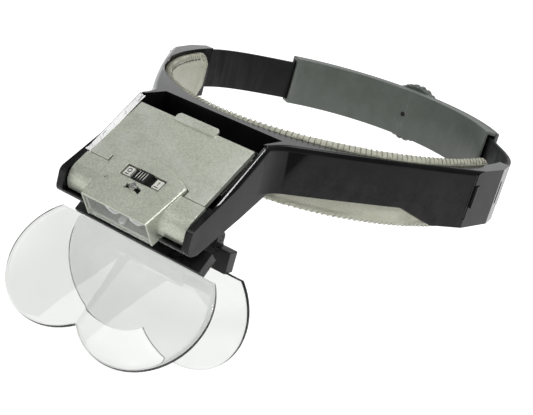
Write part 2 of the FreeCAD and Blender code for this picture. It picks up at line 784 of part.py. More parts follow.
washer_start = ("0", "rear_middle + rear_outer", "-band_mid")
washer_disc = rod("washer_disc", "y", "2 * shaft_rad", washer_start, "knob_gap")
washer_bore = rod("washer_bore", "y", "shaft_rad + run_gap", washer_start, "knob_gap")
node(minus("washer_ring", washer_disc, washer_bore), "knob_washer")


def along_knob(thing, y):
    """Places a piece drawn along z on the knob's axis."""
    thing.Placement = FreeCAD.Placement(FreeCAD.Vector(), FreeCAD.Rotation(EAST, -90))
    return put(thing, "0", y, "-band_mid")


def adjust_knob():
    blank = turned(
        "knob_blank",
        [
            ("0", "0"),
            ("knob_rad - 1", "0"),
            ("knob_rad", "1"),
            ("knob_rad", "knob_thick - 1.8"),
            ("knob_rad - 1.8", "knob_thick"),
            ("0", "knob_thick"),
        ],
        "360",
    )
    flutes = []
    count = int(size("knob_flutes"))
    for i in range(count):
        turn = f"{i} * 360 / knob_flutes"
        start = (f"(knob_rad + 0.3) * cos({turn})", f"(knob_rad + 0.3) * sin({turn})", "-1")
        flutes.append(rod(f"flute_{i}", "z", "flute_rad", start, "knob_thick + 2"))
    bore = rod("knob_bore", "z", "screw_rad", ("0", "0", "-1"), "knob_thick - 1")
    dish = rod("knob_dish", "z", "knob_rad * 0.55", ("0", "0", "knob_thick - 0.6"), "2")
    return along_knob(
        minus("knob_fluted", blank, bore, dish, *flutes), "rear_middle + rear_outer + knob_gap"
    )


def pinion_shaft():
    """The toothed pinion and its shaft up to the knob, drawn along z from the pinion's face."""
    pitch_rad = size("tooth_count") * size("tooth_pitch") / (2 * math.pi)
    tip = pitch_rad + size("tooth_high") / 2
    root = pitch_rad - size("tooth_high") / 2 - size("mesh_gap")
    count = int(size("tooth_count"))
    step = 2 * math.pi / count
    ring = []
    for i in range(count):
        for share, radius in ((-0.27, root), (-0.09, tip), (0.09, tip), (0.27, root)):
            turn = step * (i + share)
            ring.append(FreeCAD.Vector(radius * math.cos(turn), radius * math.sin(turn), 0))
    gear = Part.Face(Part.makePolygon(ring + ring[:1])).extrude(UP * size("pinion_thick"))
    length = size("rear_thick") / 2 + size("pinion_thick") / 2 + size("knob_gap")
    shaft = Part.makeCylinder(size("shaft_rad"), length)
    bore = Part.makeCylinder(size("screw_rad"), length)
    return gear.fuse(shaft).cut(bore)


pinion_face = "rear_middle + rear_outer - rear_thick / 2 - pinion_thick / 2"
node(adjust_knob(), "adjust_knob")
node(along_knob(feature("pinion_shaft", pinion_shaft()), pinion_face), "pinion_shaft")
knob_screw_head = rod(
    "knob_screw_head", "z", "screw_head_rad", ("0", "0", "-screw_head_high"), "screw_head_high"
)
knob_screw_stem = rod("knob_screw_stem", "z", "screw_rad", ("0", "0", "0"), "rear_thick + knob_gap")
node(along_knob(join("knob_screw_blank", knob_screw_head, knob_screw_stem), pinion_face), "knob_screw")


# ---------------------------------------------------------------- battery bay

door_plate = block("door_plate", ("-door_half", "-door_long", "-door_thick"), ("door_half", "0", "0"))
tab = block("tab", ("-tab_half", "-1.6", "-0.7"), ("tab_half", "tab_reach", "tab_rise"))
skirts = []
for side, low, high in (
    ("left", "-door_half", "-door_half + door_skirt"), ("right", "door_half - door_skirt", "door_half")
):
    skirts.append(block(side + "_skirt", (low, "-door_long", "-tray_top"), (high, "0", "-door_thick")))
notch_arch = rod("notch_arch", "z", "arch_rad + seam", ("0", "-hood_crown - arch_rad", "-10"), "20")
notch_box = block(
    "notch_box", ("-hood_back_half - seam", "-door_long - 5", "-5"), ("hood_back_half + seam", "0", "5")
)
door_blank = join("door_blank", door_plate, tab, *skirts)
door_cut = minus("door_cut", door_blank, both("notch", notch_box, notch_arch))


def eased(name, base, radius, wanted):
    """A fillet object on the edges of a finished piece that the test picks out."""
    doc.recompute()
    fillet = doc.addObject("Part::Fillet", name)
    fillet.Base = base
    fillet.Edges = [(i, radius, radius) for i, edge in enumerate(base.Shape.Edges, 1) if wanted(edge)]
    return fillet


def upright(edge, x, y, near=0.05):
    """Whether an edge runs along z at a place of the plan."""
    spots = [vertex.Point for vertex in edge.Vertexes]
    placed = len(spots) == 2 and all(abs(abs(p.x) - x) < near and abs(p.y - y) < near for p in spots)
    return placed and abs(spots[0].x - spots[1].x) < near and abs(spots[0].z - spots[1].z) > near


def tab_corner(edge):
    """Whether an edge is one of the tab's outer corners."""
    return upright(edge, size("tab_half"), size("tab_reach"))


node(in_bay(eased("door_eased", door_cut, 1.6, tab_corner)), "battery_door")

cell_low = "-door_thick - cell_drop - 2 * cell_rad"
tray_low = cell_low + " - cell_gap - tray_wall"
tray_end = "tray_up - 2 * tray_wall - 3 * cell_gap - 4 * cell_rad - 0.4"
tray_blank = block(
    "tray_blank", ("-tray_half", tray_end, tray_low), ("tray_half", "tray_up", "-tray_top")
)
tray_inside = block(
    "tray_inside",
    ("-tray_half + tray_wall", tray_end + " + tray_wall", tray_low + " + tray_wall"),
    ("tray_half - tray_wall", "tray_up - tray_wall", "5"),
)
node(in_bay(minus("tray_cut", tray_blank, tray_inside)), "battery_tray")

cell_z = "-door_thick - cell_drop - cell_rad"
cell_y = ["tray_up - tray_wall - cell_gap - cell_rad"]
cell_y.append(cell_y[0] + " - 2 * cell_rad - cell_gap")
springs = []
contacts = []
for i, (label, y) in enumerate(zip(("rear_cell", "front_cell"), cell_y)):
    can = rod(label + "_can", "x", "cell_rad", ("-cell_long / 2", y, cell_z), "cell_long - 1")
    nub_start = ("cell_long / 2 - 1", y, cell_z)
    nub = rod(label + "_nub", "x", "nub_rad", nub_start, "1")
    node(in_bay(join(label + "_both", can, nub)), label)


def leaf_spring(name, y):
    """A folded leaf between a foot plate and a cell's foot."""
    foot = "-tray_half + tray_wall + contact_thick"
    tip = "-cell_long / 2"
    thick = "leaf_thick"
    outline_points = [
        (foot, f"({y}) - 2.4"),
        (f"{foot} + {thick}", f"({y}) - 2.4"),
        (f"{tip}", f"({y}) + 1.6"),
        (f"{tip}", f"({y}) + 2.2"),
        (f"{tip} - {thick}", f"({y}) + 2.2"),
        (f"{tip} - {thick}", f"({y}) + 1.8"),
        (foot, f"({y}) - 1.9"),
    ]
    leaf = prism(name, "XY_Plane", outline_points, "4")
    return put(leaf, "0", "0", cell_z)


for label, y in zip(("rear", "front"), cell_y):
    low, low_z = y + " - contact_half", cell_z + " - contact_half"
    high, high_z = y + " + contact_half", cell_z + " + contact_half"
    start = "-tray_half + tray_wall"
    contacts.append(
        block(label + "_foot_plate", (start, low, low_z), (start + " + contact_thick", high, high_z))
    )
    stop = "tray_half - tray_wall"
    contacts.append(block(label + "_nub_plate", ("cell_long / 2", low, low_z), (stop, high, high_z)))
    springs.append(leaf_spring(label + "_spring", y))
node(in_bay(set_of("contact_set", *contacts)), "contact_plates")
node(in_bay(set_of("spring_set", *springs)), "contact_springs")


# ---------------------------------------------------------------- lamp housing and switch


def hood_section(y, half, low, high, corner):
    """A section of the hood across the slope, with its two upper corners rounded."""
    spots = [(-half, high - corner), (-half, low), (half, low), (half, high - corner)]
    spots += [(half - corner, high), (-half + corner, high)]
    points = [FreeCAD.Vector(x, y, z) for x, z in spots]
    lines = [Part.LineSegment(points[i], points[i + 1]).toShape() for i in (0, 1, 2, 4)]
    lean = corner * (1 - math.sqrt(0.5))
    for first, last, side in ((3, 4, 1), (5, 0, -1)):
        middle = FreeCAD.Vector(side * (half - lean), y, high - lean)
        lines.append(Part.Arc(points[first], middle, points[last]).toShape())
    return Part.Wire(Part.__sortEdges__(lines))


def hood_taper(name, inset, ahead, low, high, corner):
    """The hood's tapering block, set in from its outside, with its arched rear edge."""
    sections = []
    for down, half in (
        (size("hood_reach"), size("hood_front_half")), (size("hood_crown"), size("hood_back_half"))
    ):
        mouth = ahead if down == size("hood_reach") else 0
        sections.append(hood_section(-down - mouth, half - inset, low, high, corner))
    taper = feature(name, Part.makeLoft(sections, True, True))
    arch = rod(name + "_arch", "z", f"arch_rad - {inset}", ("0", "-hood_crown - arch_rad", "-20"), "40")
    return both(name + "_arched", taper, arch)


def lamp_housing():
    roll = prism(
        "roll",
        "YZ_Plane",
        [
            ("-door_long - seam", "0"),
            ("-cover_reach", "0"),
            ("-cover_reach", "-cover_deep"),
            ("-cover_reach + cover_thick", "-cover_deep"),
            ("-cover_reach + cover_thick", "-cover_thick"),
            ("-door_long - seam", "-cover_thick"),
        ],
        "2 * cover_half",
    )
    doc.recompute()
    for edge_y, edge_z, radius in (
        (-size("cover_reach"), 0, "roll_rad"),
        (-size("cover_reach") + size("cover_thick"), -size("cover_thick"), "roll_rad - cover_thick"),
    ):
        names = [f"Edge{i}" for i, e in enumerate(roll.Tip.Shape.Edges, 1) if along_x(e, edge_y, edge_z)]
        bend = roll.newObject("PartDesign::Fillet", f"roll_bend_{len(roll.Group)}")
        bend.Base = (roll.Tip if roll.Tip != bend else bend.BaseFeature, names)
        bind(bend, Radius=radius)
        roll.Tip = bend
        doc.recompute()
    wall = size("hood_wall")
    low = -size("hood_deep")
    high = size("hood_rise")
    outer = hood_taper("hood", 0, 0, low, high, size("hood_round"))
    inner = hood_taper("hood_inside", wall, 1, low + wall, high - wall, 0.2)
    window = block(
        "window",
        ("-window_half", "-window_mid - window_high / 2", "-3"),
        ("window_half", "-window_mid + window_high / 2", "3"),
    )
    slot_out = rod("slot_out", "z", "aim_arm + aim_slot_wide / 2", ("0", "-aim_mid", "-3"), "6")
    slot_in = rod("slot_in", "z", "aim_arm - aim_slot_wide / 2", ("0", "-aim_mid", "-3"), "6")
    slot_box = block("slot_box", ("-aim_half", "-aim_mid", "-3"), ("aim_half", "0", "3"))
    slot = both("aim_slot", minus("slot_ring", slot_out, slot_in), slot_box)
    pivot = rod(
        "pivot_hole", "z", "pin_rad + run_gap", ("0", "-aim_mid", "-hood_deep - 1"), "hood_wall + 2"
    )
    wires = wire_rods("wire_hole_", "wire_rad + 0.1", "tray_wall")
    screws = [
        rod(
            f"housing_bore_{s}",
            "z",
            "screw_rad",
            (f"{side} * housing_screw_out", "-housing_screw_down", "-hood_deep - 5"),
            "hood_wall + 5",
        )
        for s, side in SIDES
    ]
    blank = join("lamp_blank", roll, outer)
    seat = block(
        "window_seat",
        ("-hood_front_half + mouth_rim", "-hood_reach - 1", "-hood_deep - 1"),
        ("hood_front_half - mouth_rim", "-hood_reach + mouth_deep", "hood_rise - 1.5 * mouth_rim"),
    )
    cut = minus("lamp_cut", blank, inner, window, slot, pivot, seat, *wires, *screws)
    return cut


def wire_rods(name, radius, extra):
    """The two lamp wires' straight run from the battery tray to the switch."""
    rods = []
    for s, x in (("left", "-wire_half"), ("right", "wire_half")):
        start = (x, "-window_mid + 2", "-4")
        length = f"({tray_end}) + window_mid - 2"
        rods.append(rod(name + s, "y", radius, start, length))
    return rods


node(in_bay(lamp_housing()), "lamp_housing")
node(in_bay(set_of("wire_set", *wire_rods("wire_", "wire_rad", "0"))), "lamp_wires")
node(
    in_bay(
        block(
            "lamp_window_plate",
            ("-hood_front_half + mouth_rim + 0.05", "-hood_reach + 0.2", "-hood_deep + 0.05"),
            (
                "hood_front_half - mouth_rim - 0.05",
                "-hood_reach + mouth_deep - 0.05",
                "hood_rise - 1.5 * mouth_rim - 0.05",
            ),
        )
    ),
    "lamp_window",
)
node(
    in_bay(
        block(
            "switch_case",
            ("-window_half - 0.6", "-window_mid - 2", "-5"),
            ("window_half + 0.6", "-window_mid + 2", "hood_rise - hood_wall"),
        ),
    ),
    "switch_body",
)
plates = []
for s, low in (
    ("left", "-window_half + plate_inset"), ("right", "window_half - plate_inset - plate_wide")
):
    plates.append(
        block(
            s + "_mark",
            (low, "-window_mid - window_high / 2 + plate_inset", "hood_rise - hood_wall"),
            (low + " + plate_wide", "-window_mid + window_high / 2 - plate_inset", "hood_rise - 0.3"),
        )
    )
node(in_bay(set_of("mark_set", *plates)), "switch_plates")

slider_blank = block(
    "slider_blank",
    ("-slider_half", "-window_mid - window_high / 2 + switch_gap", "hood_rise - hood_wall + 0.05"),
    ("slider_half", "-window_mid + window_high / 2 - switch_gap", "hood_rise + slider_rise"),
)
ribs = []
for i in range(4):
    x = f"-slider_half + {i} * slider_half / 2 + slider_half / 5"
    ribs.append(
        block(
            f"rib_gap_{i}",
            (x, "-window_mid - window_high", "hood_rise + 0.2"),
            (x + " + slider_half / 4", "0", "5"),
        ),
    )
node(in_bay(minus("slider_ribbed", slider_blank, *ribs)), "switch_slider")


# ---------------------------------------------------------------- aimable lamp

block_low = "-hood_deep + hood_wall + 0.4"
block_top = "hood_rise - hood_wall - 0.4"
led_z = "(hood_rise - hood_deep) / 2"
lamp_blank = block(
    "lamp_block_blank",
    ("-block_half", "-block_front", block_low),
    ("block_half", "-block_back", block_top),
)
arm = block("aim_arm_bar", ("-1.2", "-aim_mid", block_low), ("1.2", "-block_front", block_low + " + 1.2"))
eye = rod("aim_eye", "z", "1.4", ("0", "-aim_mid", block_low), "1.2")
peg = rod("aim_peg", "z", "pin_rad", ("0", "-aim_mid", "-hood_deep + 0.3"), "hood_wall + 0.3")
led_bores = []
for s, x in (("left", "-led_half"), ("right", "led_half")):
    led_bores.append(
        rod(
            s + "_led_bore",
            "y",
            "led_rad",
            (x, "-block_front - 1", led_z),
            "block_front - block_back + 2",
        ),
    )
    stem = rod(
        s + "_led_stem",
        "y",
        "led_rad",
        (x, "-led_tip + led_rad", led_z),
        "led_tip - led_rad - block_back",
    )
    dome = ball(s + "_led_dome", "led_rad", (x, "-led_tip + led_rad", led_z))
    node(in_bay(join(s + "_led_both", stem, dome)), s + "_led")
screw_spot = ("0", "-aim_mid + aim_arm", block_top + " - 2")
aim_bore = rod("aim_bore", "z", "0.7", screw_spot, "5")
node(
    in_bay(
        minus("lamp_block_cut", join("lamp_block_all", lamp_blank, arm, eye, peg), aim_bore, *led_bores)
    ),
    "lamp_block",
)
node(
    in_bay(
        block(
            "board",
            ("-block_half + 1", "-block_back", block_low),
            ("block_half - 1", "-block_back + 1.2", "-5.6"),
        ),
    ),
    "led_board",
)
aim_stem = rod("aim_stem", "z", "0.7", screw_spot, "3.2 + hood_wall")
aim_head = rod("aim_head", "z", "1.5", ("0", "-aim_mid + aim_arm", "hood_rise + 0.05"), "0.8")
aim_cross = block(
    "aim_cross",
    ("-1.6", "-aim_mid + aim_arm - 0.2", "hood_rise + 0.5"),
    ("1.6", "-aim_mid + aim_arm + 0.2", "5"),
)
node(in_bay(minus("aim_screw_cut", join("aim_screw_blank", aim_stem, aim_head), aim_cross)), "aim_screw")

housing_screws = []
for s, side in SIDES:
    x = f"{side} * housing_screw_out"
    stem = rod(
        f"housing_stem_{s}",
        "z",
        "screw_rad",
        (x, "-housing_screw_down", "-hood_deep - 2.4"),
        "hood_wall + 2.2",
    )
    head_low = "-hood_deep - 2.4 - screw_head_high"
    head = rod(
        f"housing_head_{s}",
        "z",
        "screw_head_rad",
        (x, "-housing_screw_down", head_low),
        "screw_head_high",
    )
    housing_screws.append(join(f"housing_screw_{s}", stem, head))
node(in_bay(set_of("housing_screw_set", *housing_screws)), "housing_screws")


# ---------------------------------------------------------------- lens holders


def belly(back, behind="bracket_behind"):
    """The height of the belly's underside ahead of or behind its bend, as an expression."""
    if back == "rear":
        rise = "(belly_mid_drop - band_high) / (belly_mid_back - visor_back)"
        return f"-belly_mid_drop + ({behind}) * {rise}"
    fall = "(nose_low - belly_mid_drop) / (nose_heel_back - belly_mid_back)"
    return f"-belly_mid_drop - bracket_ahead * {fall}"


bracket_plate = prism(
    "bracket_plate",
    "YZ_Plane",
    [
        ("-belly_mid_back + bracket_behind", belly("rear")),
        ("-belly_mid_back", "-belly_mid_drop"),
        ("-belly_mid_back - bracket_ahead", belly("front")),
        ("-belly_mid_back - bracket_ahead", belly("front") + " - bracket_thick"),
        ("-belly_mid_back", "-belly_mid_drop - bracket_thick"),
        ("-belly_mid_back + bracket_behind", belly("rear") + " - bracket_thick"),
    ],
    "2 * (lug_inner + lug_thick)",
)
lugs = []
pin_holes = []
for end in ("rear", "front"):
    back = end + "_pin_back"
    for s, low in (("left", "-lug_inner - lug_thick"), ("right", "lug_inner")):
        top = belly("front") + " - 0.3"
        if end == "rear":
            top = belly("rear", "belly_mid_back - rear_pin_back - lug_rad") + " - 0.12"
        lugs.append(
            block(
                f"{end}_{s}_lug",
                (low, f"-{back} - lug_rad", "-pin_drop"),
                (low + " + lug_thick", f"-{back} + lug_rad", top),
            ),
        )
        lugs.append(
            rod(f"{end}_{s}_lug_end", "x", "lug_rad", (low, f"-{back}", "-pin_drop"), "lug_thick")
        )
    pin_holes.append(
        rod(
            end + "_lug_hole",
            "x",
            "pin_rad",
            ("-holder_half", f"-{back}", "-pin_drop"),
            "2 * holder_half",
        ),
    )
screw_y = "-(rear_pin_back + front_pin_back) / 2"
bracket_screws = []
for s, x in (("left", "-bracket_screw_out"), ("right", "bracket_screw_out")):
    pin_holes.append(rod(f"bracket_bore_{s}", "z", "screw_rad", (x, screw_y, "-40"), "20"))
    pin_holes.append(
        rod(
            f"bracket_seat_{s}",
            "z",
            "screw_head_rad + 0.1",
            (x, screw_y, "-40"),
            "40 - belly_mid_drop - bracket_thick",
        ),
    )
    stem = rod(
        f"bracket_stem_{s}",
        "z",
        "screw_rad",
        (x, screw_y, "-belly_mid_drop - bracket_thick"),
        "bracket_thick + 1",
    )
    head_low = "-belly_mid_drop - bracket_thick - screw_head_high"
    head = rod(f"bracket_head_{s}", "z", "screw_head_rad", (x, screw_y, head_low), "screw_head_high")
    bracket_screws.append(join(f"bracket_screw_{s}", stem, head))
node(minus("bracket_cut", join("bracket_blank", bracket_plate, *lugs), *pin_holes), "hinge_bracket")
node(set_of("bracket_screw_set", *bracket_screws), "bracket_screws")

washer_low = "lug_inner + lug_thick"
ear_low = washer_low + " + washer_thick"
stack = "washer_thick + lug_thick + ear_thick"
washers = []
for end in ("rear", "front"):
    back = end + "_pin_back"
    pins = []
    for s, sign in (("left", "-1"), ("right", "1")):
        start = f"{sign} * (lug_inner + ({stack}) / 2) - ({stack}) / 2"
        pins.append(
            rod(
                f"{end}_{s}_pin",
                "x",
                "pin_rad",
                (start, f"-{back}", "-pin_drop"),
                stack,
            ),
        )
        low = f"{sign} * ({washer_low} + washer_thick / 2) - washer_thick / 2"
        disc = rod(
            f"{end}_{s}_washer_disc", "x", "lug_rad - 0.2", (low, f"-{back}", "-pin_drop"), "washer_thick"
        )
        bore = rod(
            f"{end}_{s}_washer_bore", "x", "pin_rad", (low, f"-{back}", "-pin_drop"), "washer_thick"
        )
        washers.append(minus(f"{end}_{s}_washer", disc, bore))
    node(set_of(end + "_pin_set", *pins), end + "_hinge_pins")
node(set_of("washer_set", *washers), "friction_washers")


def at_pin(thing, end):
    """Places a piece drawn hanging from its hinge pin."""
    thing.Placement = FreeCAD.Placement(FreeCAD.Vector(), FreeCAD.Rotation(EAST, -30))
    bind(thing, Placement__Rotation__Angle=f"-{end}_tilt")
    return put(thing, "0", f"-{end}_pin_back", "-pin_drop")


def lens_holder(end):
    """The bar that grips a lens plate's tongue, with two ears up to the hinge pins."""
    low = "-holder_below - holder_high"
    bar = block(
        end + "_bar",
        ("-holder_half", "-holder_thick / 2", low),
        ("holder_half", "holder_thick / 2", "-holder_below"),
    )
    ears = []
    for s, sign in (("left", "-1"), ("right", "1")):
        start = f"{sign} * ({ear_low} + 0.05 + ear_thick / 2) - ear_thick / 2"
        ears.append(
            block(
                f"{end}_{s}_ear",
                (start, "-lug_rad", "-holder_below - 1"),
                (start + " + ear_thick", "lug_rad", "0"),
            ),
        )
        ears.append(rod(f"{end}_{s}_ear_end", "x", "lug_rad", (start, "0", "0"), "ear_thick"))
    hole = rod(end + "_ear_hole", "x", "pin_rad + run_gap", ("-holder_half", "0", "0"), "2 * holder_half")
    slot = block(
        end + "_slot",
        ("-tongue_half - tongue_gap", "-lens_thick / 2 - tongue_gap", low + " - 1"),
        ("tongue_half + tongue_gap", "lens_thick / 2 + tongue_gap", low + " + tongue_high + tongue_gap"),
    )
    return at_pin(minus(end + "_holder_cut", join(end + "_holder_blank", bar, *ears), hole, slot), end)


def lens_plate(end):
    """Two lens lobes that meet in a seam, cut off straight at the top, with a tongue above."""
    top = "-holder_below - holder_high"
    sphere_rad = "(lens_rad * lens_rad + lens_bulge * lens_bulge) / (2 * lens_bulge)"
    lobes = []
    for s, x, keep in (("left", "-lens_half", ("-100", "0")), ("right", "lens_half", ("0", "100"))):
        name = f"{end}_{s}_lobe"
        centre_z = f"{top} - lens_below"
        disc = rod(name + "_disc", "y", "lens_rad", (x, "-lens_thick / 2", centre_z), "lens_thick")
        drum = rod(
            name + "_drum",
            "y",
            "lens_rad",
            (x, "-lens_thick / 2 - lens_bulge - 1", centre_z),
            "lens_bulge + 1.5",
        )
        globe = ball(
            name + "_globe", sphere_rad, (x, f"-lens_thick / 2 - lens_bulge + {sphere_rad}", centre_z)
        )
        cap = both(name + "_cap", drum, globe)
        side = block(name + "_side", (keep[0], "-20", "-100"), (keep[1], "20", top))
        lobes.append(both(name, join(name + "_whole", disc, cap), side))
    tongue = block(
        end + "_tongue", ("-tongue_half", "-lens_thick / 2", top + " - 1"), (
            "tongue_half", "lens_thick / 2", top + " + tongue_high"
        )
    )
    return at_pin(join(end + "_lens_all", tongue, *lobes), end)


for end in ("rear", "front"):
    node(lens_holder(end), end + "_lens_holder")
    node(lens_plate(end), end + "_lens_plate")


node(feature("front_frame", front_frame()), "front_frame")


# ---------------------------------------------------------------- files


def write_parts():
    doc.recompute()
    for thing in doc.Objects:
        if "Invalid" in thing.State or "Error" in thing.State:
            raise SystemExit(f"{thing.Name} failed: {thing.State}")
    os.makedirs("parts", exist_ok=True)
    for thing in nodes:
        if thing.Shape.isNull() or not thing.Shape.isValid():
            raise SystemExit(f"{thing.Label} has no valid shape")
        thing.Shape.exportStep(f"parts/{thing.Label}.step")


write_parts()
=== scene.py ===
import math
import random

import bmesh
import bpy
import numpy as np
from mathutils import Matrix, Vector


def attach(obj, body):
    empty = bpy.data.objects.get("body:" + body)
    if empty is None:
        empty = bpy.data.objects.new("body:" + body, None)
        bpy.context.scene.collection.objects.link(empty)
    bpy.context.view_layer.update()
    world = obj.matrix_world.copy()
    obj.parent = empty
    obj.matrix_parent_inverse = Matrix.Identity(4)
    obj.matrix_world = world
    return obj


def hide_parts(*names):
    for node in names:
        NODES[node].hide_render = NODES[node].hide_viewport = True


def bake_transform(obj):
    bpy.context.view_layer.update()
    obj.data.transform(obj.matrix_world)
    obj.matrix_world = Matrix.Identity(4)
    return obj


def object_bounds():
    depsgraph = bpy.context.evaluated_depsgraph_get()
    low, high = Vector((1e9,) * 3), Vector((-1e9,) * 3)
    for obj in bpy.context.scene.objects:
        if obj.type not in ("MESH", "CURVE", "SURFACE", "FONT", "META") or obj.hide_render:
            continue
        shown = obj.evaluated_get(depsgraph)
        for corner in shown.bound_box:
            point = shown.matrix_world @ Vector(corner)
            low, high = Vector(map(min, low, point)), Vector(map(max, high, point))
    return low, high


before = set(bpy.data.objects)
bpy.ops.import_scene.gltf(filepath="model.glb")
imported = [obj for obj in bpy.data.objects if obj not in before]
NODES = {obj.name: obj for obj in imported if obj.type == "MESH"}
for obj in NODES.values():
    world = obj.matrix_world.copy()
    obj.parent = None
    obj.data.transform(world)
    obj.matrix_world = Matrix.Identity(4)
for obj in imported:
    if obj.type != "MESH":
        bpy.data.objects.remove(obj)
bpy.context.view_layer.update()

MM = 0.001
random.seed(7)

# Sizes in millimetres, the same as in the CAD model.
# A pin is given as (back, height, tilt of its lens holder).
SLOPE = math.radians(36.3)
BAY_BACK, BAY_HEIGHT = -117.5, -3.0
LAMP_AXIS, LAMP_MID, LAMP_DEPTH = -43.6, 5.4, -4.85
PINS = {"rear": (-118.2, -38.6, math.radians(0.8)), "front": (-129.6, -38.6, math.radians(41.8))}
PLATE_TOP = -11.4
LOBE_RADIUS, LOBE_HALF, LOBE_BELOW = 26.0, 17.8, 17.9
PLATE_THICK = 2.2
TONGUE_HALF, TONGUE_HIGH = 22.0, 4.5


def bay(x, y, z):
    """A point given on the sloping bay: sideways, up the slope, out of the face."""
    back = BAY_BACK + y * math.cos(SLOPE) - z * math.sin(SLOPE)
    height = BAY_HEIGHT + y * math.sin(SLOPE) + z * math.cos(SLOPE)
    return Vector((x, back, height)) * MM


def at_pin(end, x, y, z):
    """A point given in a lens holder's own frame, whose origin is its hinge pin."""
    pin_back, pin_height, tilt = PINS[end]
    back = pin_back + y * math.cos(tilt) + z * math.sin(tilt)
    height = pin_height - y * math.sin(tilt) + z * math.cos(tilt)
    return Vector((x, back, height)) * MM


# ---------------------------------------------------------------- camera

AZIMUTH, ELEVATION, ROLL = (math.radians(a) for a in (28.07, 18.24, 15.69))
CAMERA_PLACE = (0.2054, -0.4325, 0.0973)
SENSOR_WIDTH, FOCAL_LENGTH = 36, 70.91932458
look = Vector((
    -math.sin(AZIMUTH) * math.cos(ELEVATION),
    math.cos(AZIMUTH) * math.cos(ELEVATION),
    -math.sin(ELEVATION),
))
right = look.cross(Vector((0, 0, 1))).normalized()
up = right.cross(look)
turned_right = right * math.cos(ROLL) + up * math.sin(ROLL)
turned_up = up * math.cos(ROLL) - right * math.sin(ROLL)
camera = bpy.data.objects.new("camera", bpy.data.cameras.new("camera"))
bpy.context.scene.collection.objects.link(camera)
turn = Matrix((turned_right, turned_up, -look)).transposed().to_4x4()
camera.matrix_world = Matrix.Translation(CAMERA_PLACE) @ turn
camera.data.sensor_width = SENSOR_WIDTH
camera.data.lens = FOCAL_LENGTH
camera.data.clip_start = 0.01
camera.data.clip_end = 400
bpy.context.scene.camera = camera


# ---------------------------------------------------------------- materials

# How often each pattern repeats in a metre.
BLOTCHES, SMUDGES, SMEARS = 60, 140, 300
PEBBLES, PEBBLE_WOBBLES, FLAKES = 1150, 500, 2300
HAIRS_ACROSS, HAIRS_ALONG = (120, 1900, 900), (1700, 140, 260)


def link(tree, source, target):
    tree.links.new(source, target)


def noise(tree, where, scale, detail=3, rough=0.5):
    n = tree.nodes.new("ShaderNodeTexNoise")
    n.inputs["Scale"].default_value = scale
    n.inputs["Detail"].default_value = detail
    n.inputs["Roughness"].default_value = rough
    link(tree, where, n.inputs["Vector"])
    return n.outputs["Fac"]


def span(tree, value, low, high, to_low=0.0, to_high=1.0):
    n = tree.nodes.new("ShaderNodeMapRange")
    for key, number in (("From Min", low), ("From Max", high), ("To Min", to_low), ("To Max", to_high)):
        n.inputs[key].default_value = number
    link(tree, value, n.inputs["Value"])
    return n.outputs["Result"]


def maths(tree, kind, one, two):
    n = tree.nodes.new("ShaderNodeMath")
    n.operation = kind
    for socket, item in zip(n.inputs, (one, two)):
        if isinstance(item, (int, float)):
            socket.default_value = item
        else:
            link(tree, item, socket)
    return n.outputs[0]


def mixed(tree, share, one, two):
    n = tree.nodes.new("ShaderNodeMix")
    n.data_type = "RGBA"
    link(tree, share, n.inputs["Factor"])
    for socket, item in zip((n.inputs[6], n.inputs[7]), (one, two)):
        if isinstance(item, tuple):
            socket.default_value = (*item, 1)
        else:
            link(tree, item, socket)
    return n.outputs[2]


def stretched(tree, where, scales):
    n = tree.nodes.new("ShaderNodeMapping")
    n.inputs["Scale"].default_value = scales
    link(tree, where, n.inputs["Vector"])
    return n.outputs["Vector"]


def cells(tree, where, scale, feature="F1", output="Color"):
    n = tree.nodes.new("ShaderNodeTexVoronoi")
    n.feature = feature
    n.inputs["Scale"].default_value = scale
    n.inputs["Randomness"].default_value = 1.0
    link(tree, where, n.inputs["Vector"])
    return n.outputs[output]


def bumped(tree, height, distance, strength=1.0, under=None):
    """A bump of a height map, at a distance in millimetres, over the bump below it."""
    n = tree.nodes.new("ShaderNodeBump")
    n.inputs["Distance"].default_value = distance * MM
    n.inputs["Strength"].default_value = strength
    link(tree, height, n.inputs["Height"])
    if under is not None:
        link(tree, under, n.inputs["Normal"])
    return n.outputs["Normal"]


